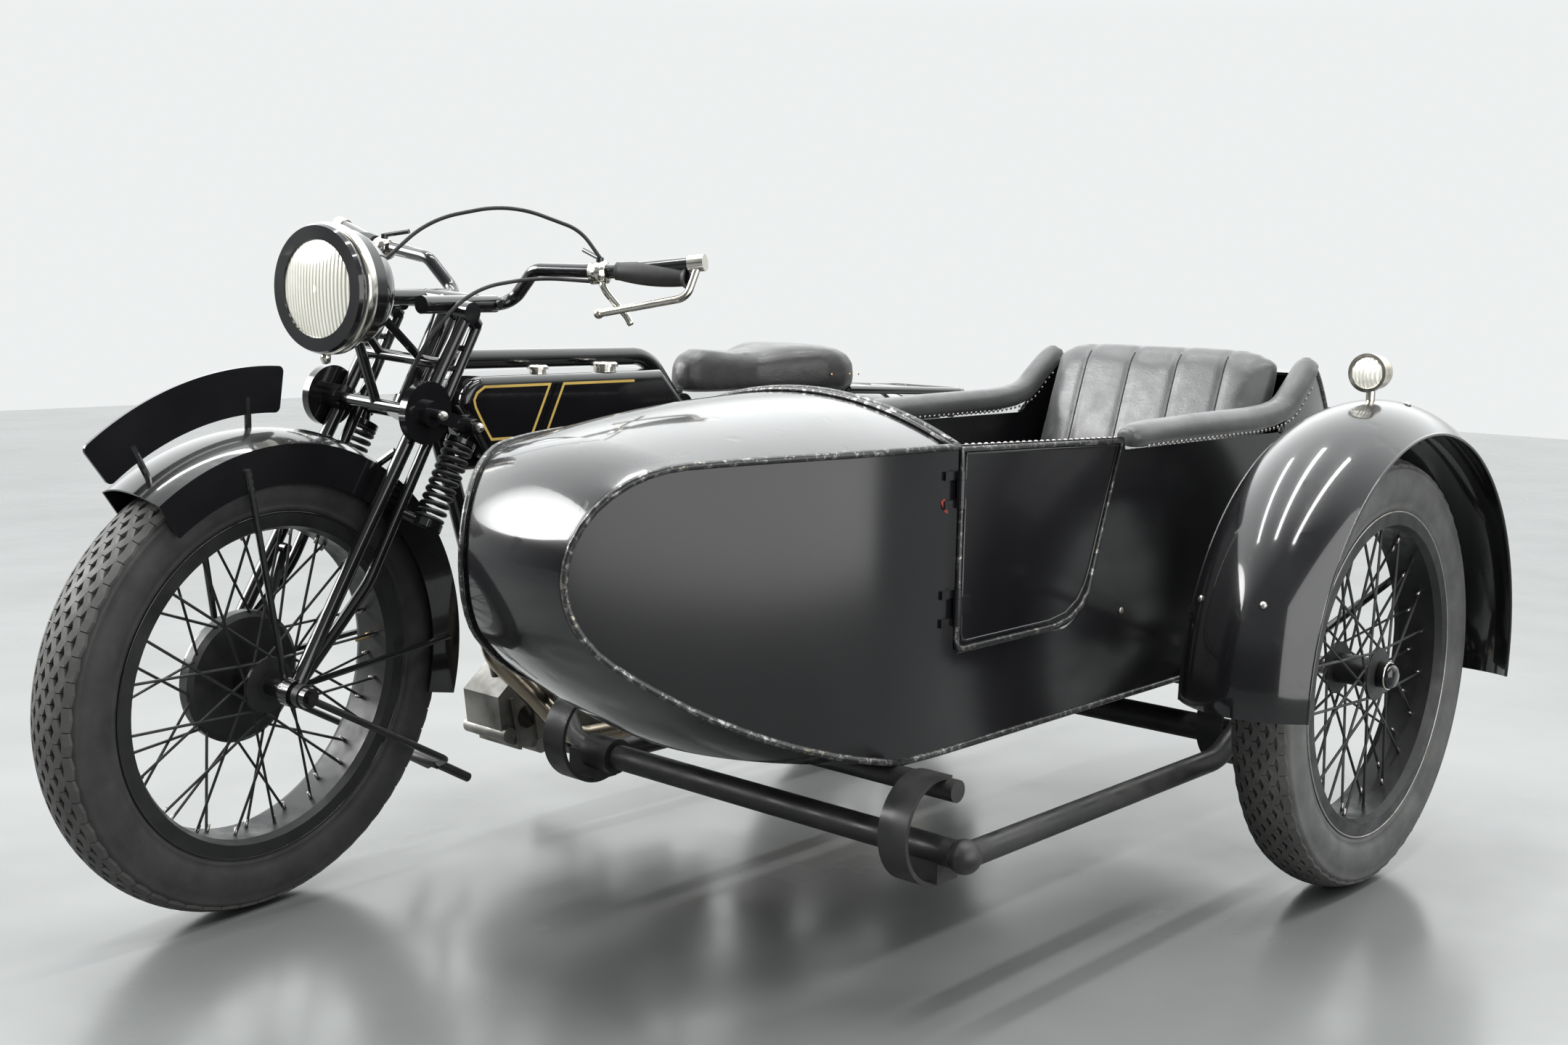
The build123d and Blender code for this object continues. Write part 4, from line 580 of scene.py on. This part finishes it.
def nose_line(side, grow):
    """Upper, front and lower edge of one side panel from the cowl to the floor."""
    line = []
    for centre, r, first, last, steps in ((DECK_C, DECK_R, 90, 90 - DECK_TURN, 20),
                                          (NOSE_C, NOSE_R, 90 - DECK_TURN, 90 - NOSE_END, 14),
                                          (BELLY_C, BELLY_R, 90 - NOSE_END, -88, 22)):
        for i in range(steps):
            t = math.radians(first + (last - first) * i / steps)
            x = centre.x + r * math.cos(t)
            for _ in range(8):
                reach = r + grow - drop(half_at(x))
                x = centre.x + reach * math.cos(t)
            z = centre.z + reach * math.sin(t)
            if z > FLOOR_Z - grow:
                line.append(Vector((x, BODY_Y + side * half_at(x), z)))
    return line


SIDE_EDGE = CROWN_Z - drop(BODY_HALF)
rear_edge = [(-30, ELBOW_TOP), (-90, 748), (-150, 798), (-190, 802), (-262, 752), (-330, 702), (-385, 645),
             (-415, 580), (TAIL_X - 2, 500), (-418, 420), (TAIL_X + 58, FLOOR_Z - 2)]
for name, side in (("left", 1), ("right", -1)):
    nose = nose_line(side, 2.0)
    along = range(int(nose[-1].x), int(TAIL_X + 58), -40)
    floor_line = [(x, BODY_Y + side * half_at(x), FLOOR_Z - 2) for x in along]
    rear = [(x, BODY_Y + side * half_at(x), z) for x, z in rear_edge]
    lines = [bar(nose + floor_line, 5.0, 8), bar(bend(rear, 4), 4.5, 8)]
    if side < 0:
        wall_y = BODY_Y + side * BODY_HALF
        lines.append(bar([(COWL_X, wall_y, SIDE_EDGE + 2), (DOOR_REAR, wall_y, SIDE_TOP + 2)], 5.0, 8))
    attach(build("bead_side_" + name, *merge(lines), bead_metal), "outfit", "nickel")

arch = []
for i in range(41):
    dy = BODY_HALF * (i / 20 - 1)
    arch.append((COWL_X + 3, BODY_Y + dy, CROWN_Z - drop(dy) + 2))
cowl = merge([bar(arch, 6.5, 8), bar([(x + 12, y, z + 1) for x, y, z in arch], 3.0, 6)])
attach(build("bead_cowl", *cowl, bead_metal), "outfit", "nickel")

# Door: a bead round its edge, a second one inside it, and nails along its top
LEFT, DOOR_NAIL_GAP = BODY_Y + BODY_HALF, 15


def door_line(inset):
    """The door's outline as (X, Z) points, drawn in by inset."""
    top_front = (COWL_X - 5 - inset, SIDE_EDGE - inset * 0.6)
    top_rear = (DOOR_REAR + 6 + inset, SIDE_TOP - inset * 0.6)
    low = DOOR_BOTTOM + 3 + inset
    slant = DOOR_REAR + DOOR_SLANT + inset
    corner = [(slant - 19, DOOR_BOTTOM + DOOR_CORNER), (slant - 8, low + 46), (slant + 10, low + 22),
              (slant + 42, low + 6), (slant + DOOR_CORNER, low)]
    front = [(COWL_X - 17 - inset, low), (COWL_X - 8 - inset, low + 3), (COWL_X - 5 - inset, low + 12)]
    return [top_rear] + corner + front + [top_front]


for name, inset, r, y in (("bead_door", 3.0, 4.6, LEFT + 0.6), ("bead_door_inner", 13.0, 2.2, LEFT + 0.2)):
    ring = [(x, y, z) for x, z in door_line(inset)]
    finish = bead_metal if name == "bead_door" else slots["black_enamel"]
    attach(build(name, *bar(ring, r, 8, True), finish), "door", "nickel")


def stud():
    """Small domed nail head on its own disc, Z up."""
    turns = [k * math.pi / 4 for k in range(8)]
    dome = ((3.2, 0.0), (3.0, 0.9), (2.2, 1.7), (1.1, 2.1))
    return rings([[(r * math.cos(t), r * math.sin(t), z) for t in turns] for r, z in dome])


top = [(COWL_X - 14, LEFT - 2.5, SIDE_EDGE + 3.2), (DOOR_REAR + 14, LEFT - 2.5, SIDE_TOP + 3.2)]
nails = [(p, Vector((0, 0, 1))) for p in spaced(top, DOOR_NAIL_GAP)]
attach(repeat("nails_door", build("unit", *stud(), steel), nails), "door", "nickel")


# Padded leather: saddle, cushion, seat back and armrest rolls
CLOTH_FRAMES = 20


def puff(obj, voxel, pressure, limit):
    """Voxel remesh, then swell with cloth pressure, holding each point near its start."""
    obj.modifiers.new("voxel", "REMESH").voxel_size = voxel
    bake(obj)
    start = [v.co.copy() for v in obj.data.vertices]
    cloth = obj.modifiers.new("cloth", "CLOTH")
    cloth.settings.use_pressure = True
    cloth.settings.uniform_pressure_force = pressure
    cloth.settings.effector_weights.gravity = 0
    cloth.point_cache.frame_end = CLOTH_FRAMES
    for f in range(1, CLOTH_FRAMES + 1):
        scene.frame_set(f)
    bake(obj)
    scene.frame_set(1)
    for v, p in zip(obj.data.vertices, start):
        step = v.co - p
        if step.length > limit * MM:
            v.co = p + step.normalized() * limit * MM
    soft = obj.modifiers.new("soft", "SMOOTH")
    soft.factor, soft.iterations = 0.5, 6
    bake(obj)


def crease(obj, rule):
    """Moves each point along its normal by rule(point in mm, normal) in mm."""
    mesh = obj.data
    moves = [v.normal * (rule(v.co / MM, v.normal) * MM) for v in mesh.vertices]
    for v, step in zip(mesh.vertices, moves):
        v.co += step


def finish_soft(obj, material):
    """Subdivides a padded piece once and gives it its leather."""
    fine = obj.modifiers.new("fine", "SUBSURF")
    fine.levels = fine.render_levels = 1
    bake(obj)
    obj.data.materials.clear()
    obj.data.materials.append(material)
    obj.data.shade_smooth()
    return obj


def groove(distance, width, depth):
    """Depth of a soft sewn channel at a distance from its middle."""
    return -depth * math.exp(-(distance / width) ** 2)


# Seat back: slanted, a little lower at its upper corners, with sewn channels
SEAMS = [BODY_Y + s for s in (-142, -48, 48, 142)]
BACK_LOW, BACK_HALF, BACK_FOOT, BACK_LEAN = 480, 232, 52, 0.36
CORNER_FALL, EDGE_FROM, EDGE_REACH, EDGE_THIN = 0.05, 0.84, 0.16, 0.55
back_loop = [(BACK_FOOT, BACK_LOW), (6, 604), (-38, 730), (-66, 806), (-80, 836), (-102, 848), (-124, 832),
             (-116, 786), (-62, 620), (0, BACK_LOW)]
loops = []
for i in range(25):
    u = i / 12 - 1
    arch_cut = 1 - CORNER_FALL * abs(u) ** 4
    thin = 1 - EDGE_THIN * max(0, (abs(u) - EDGE_FROM) / EDGE_REACH) ** 2
    loop = []
    for x, z in back_loop:
        lean = (BACK_FOOT - (z - BACK_LOW) * BACK_LEAN) - BACK_FOOT / 2
        rise = (z - BACK_LOW) * arch_cut * (0.985 if thin < 1 else 1)
        loop.append((lean + (x - lean) * thin, BODY_Y + BACK_HALF * u, BACK_LOW + rise))
    loops.append(loop)
back = build("seat_back_leather", *rings(loops), slots["seat_leather"])
puff(back, 0.0075, 4.0, 9)
crease(back, lambda p, n: (sum(groove(p.y - y, 6.0, 2.6) for y in SEAMS)
                           if n.x + 0.5 * n.z > 0.12 else 0.0))
attach(finish_soft(back, slots["seat_leather"]), "outfit", "seat_leather", "seat_back")


def sewn(obj, name, lines, body):
    """Dark seam threads, partly the stitching and partly painted shade of the sewn channels, laid on a padded
    piece along lines of rays (start, way) in mm.
    """
    bars = []
    for rays in lines:
        hits = [obj.ray_cast(Vector(start) * MM, Vector(way)) for start, way in rays]
        found = [hit[1] / MM for hit in hits if hit[0]]
        bars.append(bar(found, 1.5, 6))
    attach(build(name, *merge(bars), thread_and_channel_shade), body, "seat_leather")


seam_rays = [[((300, y, z), (-1, 0, -0.2)) for z in range(546, 906, 9)] for y in SEAMS]
sewn(back, "seat_back_seams", seam_rays, "outfit")

# Cushion: crowned, with rounded corners and sewn channels
CUSHION_REAR, CUSHION_FRONT, CUSHION_HALF, CUSHION_CORNER = 72, 444, 234, 46
loops = []
for z, grow in ((402, -12), (410, -2), (436, 2), (456, -2), (466, -14), (470, -40), (472, -90)):
    low, high, half = CUSHION_REAR - grow * 0.2, CUSHION_FRONT + grow, CUSHION_HALF + grow
    corner, loop = CUSHION_CORNER, []
    for cx, cy, start in ((high - corner, half - corner, 0), (low + corner, half - corner, 90),
                          (low + corner, -half + corner, 180), (high - corner, -half + corner, 270)):
        for k in range(7):
            t = math.radians(start + 15 * k)
            loop.append((cx + corner * math.cos(t), BODY_Y + cy + corner * math.sin(t), z))
    loops.append(loop)
cushion = build("seat_cushion_leather", *rings(loops), slots["seat_leather"])
puff(cushion, 0.008, 4.0, 10)
crease(cushion, lambda p, n: (sum(groove(p.y - y, 4.0, 4.0) for y in SEAMS) if n.z > 0.5 else 0.0))
attach(finish_soft(cushion, slots["seat_leather"]), "outfit", "seat_leather", "seat_cushion")

# Armrest rolls with nail rows below them
ROLL_OUT, ROLL_UP, ROLL_DOWN, ARM_NAIL_GAP = 25, 24, 17, 14
for name, side in (("left", 1), ("right", -1)):
    y = BODY_Y + side * (BODY_HALF - 2.5)
    line = bend([(DOOR_REAR - 8, y, 718), (380, y, 720), (200, y, 721), (60, y, 723), (-30, y, 737),
                 (-86, y, 776), (-138, y - side * 4, 817)], 7)
    count = len(line)
    loops = []
    for i, p in enumerate(line):
        along = (line[min(i + 1, count - 1)] - line[max(i - 1, 0)]).normalized()
        across = Vector((0, 1, 0))
        rise = across.cross(along).normalized()
        if rise.z < 0:
            rise = -rise
        swell = 1.0 - 0.28 * max(0, 1 - i / 3) ** 2 - 0.22 * max(0, 1 - (count - 1 - i) / 4) ** 2
        loop = []
        for k in range(16):
            t = 2 * math.pi * k / 16
            lift = math.sin(t)
            high = ROLL_UP if lift > 0 else ROLL_DOWN
            loop.append(p + across * (ROLL_OUT * swell * math.cos(t)) + rise * (swell * (high * lift)))
        loops.append(loop)
    roll = build("armrest_roll_" + name, *rings(loops), slots["seat_leather"])
    puff(roll, 0.006, 4.0, 4)
    attach(finish_soft(roll, slots["seat_leather"]), "outfit", "seat_leather", "armrest_" + name)
    row = []
    for out in (1, -1):
        low = [(p.x, p.y + side * out * 22.5, p.z - 13.5) for p in line[2:-4]]
        row += [(q, Vector((0, side * out, -0.25))) for q in spaced(low, ARM_NAIL_GAP)]
    attach(repeat("nails_arm_" + name, build("unit", *stud(), steel), row), "outfit", "nickel")

# Saddle: crowned leather top drawn down at the sides, with rivets at its ends
SADDLE_MID, SADDLE_HALF, RIVET_Z, DIP, DIP_X, DIP_REACH = 330, 137, 768, 16, 400, 75
saddle_plan = [(548, 0), (543, 20), (526, 34), (470, 46), (390, 63), (320, 98), (262, 127),
               (222, SADDLE_HALF), (188, 130), (171, 98), (166, 50)]
saddle_plan = saddle_plan + [(165, 0)] + [(x, -y) for x, y in saddle_plan[:0:-1]]
loops = []
for z, share, fall in ((742, 0.93, 1.0), (744, 0.98, 1.0), (762, 1.0, 0.9), (788, 0.985, 0.6),
                       (804, 0.93, 0.35), (813, 0.80, 0.15), (818, 0.55, 0.0), (820, 0.25, 0.0)):
    loop = []
    for x, y in saddle_plan:
        cx = SADDLE_MID + (x - SADDLE_MID) * share
        dip = DIP * math.exp(-((cx - DIP_X) / DIP_REACH) ** 2)
        loop.append((cx, y * share, z - dip * (1 - fall) - 3 * fall * abs(y) / SADDLE_HALF))
    loops.append(loop)
saddle = build("saddle_leather_top", *rings(loops), slots["saddle_leather"])
puff(saddle, 0.006, 4.0, 5)
attach(finish_soft(saddle, slots["saddle_leather"]), "outfit", "saddle_leather", "saddle")
rivets = []
for x, y in saddle_plan[6:17]:
    out = Vector((x - SADDLE_MID, y * 1.4, 0)).normalized()
    edge = Vector((SADDLE_MID + (x - SADDLE_MID) * 1.004, y * 1.004, RIVET_Z))
    rivets.append((edge + out * 2.5, out))
attach(repeat("rivets_saddle", build("unit", *stud(), brass), rivets), "outfit", "nickel")


# Gold lines on the tank: a closed panel ahead of the seam and an open one behind it
GOLD_HALF, GOLD_T, TANK_HALF = 2.1, 0.35, 74.0
FRONT_PANEL = [(1025, 684), (1036, 701), (1047, 720), (1056, 736), (1059, 748), (1053, 759), (1038, 768),
               (904, 768), (944, 684)]
REAR_PANEL = [(700, 684), (914, 684), (874, 768), (716, 768)]


def ribbon(line, y, closed):
    """A thin flat band along (X, Z) points, standing just proud of the plane Y."""
    count = len(line)
    side = 1 if y > 0 else -1
    section = ((1, 0), (1, GOLD_T), (-1, GOLD_T), (-1, 0))[::-side]
    loops = []
    for i, (x, z) in enumerate(line):
        here = Vector((x, z))
        ahead = Vector(line[(i + 1) % count]) if closed or i < count - 1 else here
        behind = Vector(line[i - 1]) if closed or i else here
        legs = [leg.normalized() for leg in (ahead - here, here - behind) if leg.length]
        normal = sum((Vector((-leg.y, leg.x)) for leg in legs), Vector((0, 0))).normalized()
        wide = GOLD_HALF / max(0.4, normal.dot(Vector((-legs[0].y, legs[0].x))))
        flat = [(here + normal * wide * out, depth) for out, depth in section]
        loops.append([(q.x, y + side * depth, q.y) for q, depth in flat])
    return rings(loops, closed)


for name, y in (("left", TANK_HALF), ("right", -TANK_HALF)):
    lines = [ribbon(FRONT_PANEL, y, True), ribbon(REAR_PANEL, y, False)]
    attach(build("gold_lines_" + name, *merge(lines), gold, smooth=False), "outfit", "tank_enamel")


# Headlamp: a pale plated ring behind the black rim, and the clip below it
LAMP_DOWN, LAMP_FORE = 93, 253
LAMP = fork_point(LAMP_DOWN, LAMP_FORE, 0)
band = [(88.4, -33), (95.0, -33), (97.0, -30), (97.0, -17), (95.2, -14), (88.4, -14)]
turned = STEER @ Matrix.Translation(LAMP) @ Matrix.Rotation(math.radians(-90), 4, "Z")
attach(build("headlamp_plated_ring", *lathe(band, 96, True), slots["nickel"], turned), "steering", "nickel")
clip = [(-22, 0, -92), (-22, 0, -104), (-24, 0, -110)]
clip_bar = bar([LAMP + Vector(q) for q in clip], [7, 8, 6], 8)
attach(build("headlamp_clip", *clip_bar, slots["nickel"], STEER), "steering", "nickel")

# Round nuts on the fork's links, and a curved lever and its clamp beside each grip
acorn = [(7.6, 0), (7.6, 5), (6.6, 9), (4.4, 11.8), (0.2, 13)]
for name, side in (("left", 1), ("right", -1)):
    lists = []
    for down, fore, y in ((190, 60, 138), (172, -24, 134)):
        points, faces = lathe(acorn, 16)
        at = fork_point(down, fore, side * y)
        points = [at + Vector((x, side * t, z)) for x, t, z in points]
        lists.append((points, [face[::side] for face in faces]))
    attach(build("acorn_nuts_" + name, *merge(lists), steel, STEER), "steering", "nickel")
    hook = bend([(968, side * 244, 962), (972, side * 252, 944), (962, side * 272, 920),
                 (957, side * 288, 904), (955, side * 296, 892)], 5)
    lever = bar(hook, [5.5] * (len(hook) - 1) + [4.5], 8)
    attach(build("inner_lever_" + name, *lever, slots["nickel"], STEER), "steering", "nickel")
    grip_end, grip_way = Vector((963, side * 260, 971)), Vector((-0.2756, side * 0.945, 0.173))
    clamp = bar([grip_end - grip_way * d for d in (36, 10)], 17.5, 16)
    attach(build("lever_clamp_" + name, *clamp, slots["nickel"], STEER), "steering", "nickel")

# Sidecar mudguard: wired edges, screws and a red touch of paint on the body
GUARD_R, GUARD_HALF, GUARD_DROP, GUARD_SWEEP, EDGE_WIRE = 432.0, 100.0, 46.0, 188, 2.6
edges = []
for y in (-GUARD_HALF, GUARD_HALF):
    r = GUARD_R - GUARD_DROP - 1.5
    edges.append(bar([SIDE_AXLE + Vector((r * math.cos(t), y, r * math.sin(t))) for t in
                      [math.radians(GUARD_SWEEP * k / 60) for k in range(61)]], EDGE_WIRE, 8))
attach(build("guard_edge_wires", *merge(edges), slots["black_enamel"]), "outfit", "nickel")


def on_guard(angle, across):
    """Point on the sidecar guard's outside and the way it faces."""
    t = math.radians(angle)
    lens_r = (GUARD_HALF ** 2 + GUARD_DROP ** 2) / (2 * GUARD_DROP)
    lift = math.sqrt(lens_r ** 2 - across ** 2) - lens_r
    out = Vector((math.cos(t), 0, math.sin(t)))
    normal = (out * math.sqrt(lens_r ** 2 - across ** 2) + Vector((0, across, 0))).normalized()
    return SIDE_AXLE + out * (GUARD_R + lift) + Vector((0, across, 0)), normal


screws = [on_guard(22, 30), on_guard(22, -78), on_guard(94, 40), on_guard(150, 30)]
screws.append((Vector((470, BODY_Y + BODY_HALF + 0.2, 452)), Vector((0, 1, 0))))
SCREW_SIZE = 1.9
attach(repeat("guard_screws", build("unit", *stud(), steel), screws, size=SCREW_SIZE), "outfit", "nickel")
SPOT_X, SPOT_Z, SPOT_POINTS = COWL_X + 26, 652, 10
blot = []
for k in range(SPOT_POINTS):
    t = k * math.pi * 2 / SPOT_POINTS
    blot.append((math.cos(t) * (5 + 3 * (k % 3)), math.sin(t) * (8 + 3 * (k % 2))))
front = [(SPOT_X + x + z * 0.4, BODY_Y + half_at(SPOT_X) + 0.8, SPOT_Z + z) for x, z in blot]
back = [(x, y - 1.6, z) for x, y, z in front]
attach(build("red_paint_spot", *rings([front, back]), paint_spot, smooth=False), "outfit", "black_enamel")


# Floor, light and camera; lamps are placed in metres
FLOOR_REACH = 9000
corners = [(x * FLOOR_REACH, y * FLOOR_REACH, 0) for x, y in ((-1, -1), (1, -1), (1, 1), (-1, 1))]
floor = build("floor", corners, [[0, 1, 2, 3]], bpy.data.materials.new("floor"), smooth=False)
s = Shader("pale_floor")
tone = s.mix(s.ramp(s.noise(1.6, 4), 0.35, 0.7), (0.255, 0.262, 0.258), (0.21, 0.217, 0.213))
floor.data.materials[0] = s.set(Base_Color=tone, Roughness=s.ramp(s.noise(3.0, 3), 0.3, 0.7, 0.16, 0.30))

# World: a pale wall behind the part, brighter above the picture, and a dim room behind the camera
WALL_WAY, DIM, PALE = (-0.72, -0.65, 0.24), (0.12, 0.124, 0.124, 1), (0.88, 0.90, 0.90, 1)
world = bpy.data.worlds.new("studio")
world.use_nodes = True
tree = world.node_tree
way = tree.nodes.new("ShaderNodeTexCoord")
wall = tree.nodes.new("ShaderNodeVectorMath")
wall.operation = "DOT_PRODUCT"
wall.inputs[1].default_value = WALL_WAY
share = tree.nodes.new("ShaderNodeMapRange")
for socket, value in (("From Min", -0.30), ("From Max", 0.40)):
    share.inputs[socket].default_value = value
tone = tree.nodes.new("ShaderNodeMix")
tone.data_type = "RGBA"
tone.inputs[6].default_value, tone.inputs[7].default_value = DIM, PALE
tree.links.new(way.outputs["Generated"], wall.inputs[0])
tree.links.new(wall.outputs["Value"], share.inputs["Value"])
tree.links.new(share.outputs[0], tone.inputs[0])
tree.links.new(tone.outputs[2], tree.nodes["Background"].inputs["Color"])
height = tree.nodes.new("ShaderNodeSeparateXYZ")
above = tree.nodes.new("ShaderNodeMapRange")
above.interpolation_type = "SMOOTHSTEP"
for socket, value in (("From Min", 0.14), ("From Max", 0.36), ("To Min", 0.97), ("To Max", 2.7)):
    above.inputs[socket].default_value = value
tree.links.new(way.outputs["Generated"], height.inputs[0])
tree.links.new(height.outputs[2], above.inputs["Value"])
tree.links.new(above.outputs[0], tree.nodes["Background"].inputs["Strength"])
scene.world = world


def area(name, place, aim, size, power, spread=180, shape="RECTANGLE"):
    """A lamp panel that the camera doesn't see, in metres, watts and degrees."""
    lamp = bpy.data.lights.new(name, "AREA")
    lamp.shape = shape
    lamp.size, lamp.size_y = size
    lamp.energy = power
    lamp.spread = math.radians(spread)
    obj = bpy.data.objects.new(name, lamp)
    obj.location = place
    obj.rotation_euler = (Vector(aim) - Vector(place)).to_track_quat("-Z", "Y").to_euler()
    obj.visible_camera = False
    scene.collection.objects.link(obj)
    return obj


def keep_off(lamp, thing):
    """Leaves one object out of a lamp's light, so that the floor shows no glare."""
    group = bpy.data.collections.new(lamp.name + "_leaves_out")
    group.objects.link(thing)
    lamp.light_linking.receiver_collection = group
    group.collection_objects[0].light_linking.link_state = "EXCLUDE"


keep_off(area("card", (1.275, 2.65, 1.08), (1.275, 0.6, 0.98), (2.65, 1.75), 41), floor)
keep_off(area("fill", (3.2, -2.2, 2.4), (0.3, 0.4, 0.6), (3.4, 2.2), 44, 62, "ELLIPSE"), floor)
for i, y in enumerate((-0.6, 0.6, 1.8)):
    area(f"tube_{i}", (0.8, y, 3.3), (0.8, y, 0), (2.6, 0.16), 34)

# Camera: place in metres, turn and lens as solved from the photograph
CAMERA_AT, LENS, SENSOR = (2.7694, 2.2731, 0.9486), 40.05, 36.0
yaw, pitch, roll = math.radians(-138.02), math.radians(-8.01), math.radians(1.07)
forward = Vector((math.cos(pitch) * math.cos(yaw), math.cos(pitch) * math.sin(yaw), math.sin(pitch)))
right = forward.cross(Vector((0, 0, 1))).normalized()
up = right.cross(forward)
tilted = (right * math.cos(roll) + up * math.sin(roll), up * math.cos(roll) - right * math.sin(roll),
          -forward)
view = bpy.data.cameras.new("camera")
view.sensor_fit, view.sensor_width, view.lens = "HORIZONTAL", SENSOR, LENS
camera = bpy.data.objects.new("camera", view)
camera.matrix_world = Matrix.Translation(CAMERA_AT) @ Matrix(tilted).transposed().to_4x4()
scene.collection.objects.link(camera)
scene.camera = camera
scene.view_settings.view_transform = "Standard"
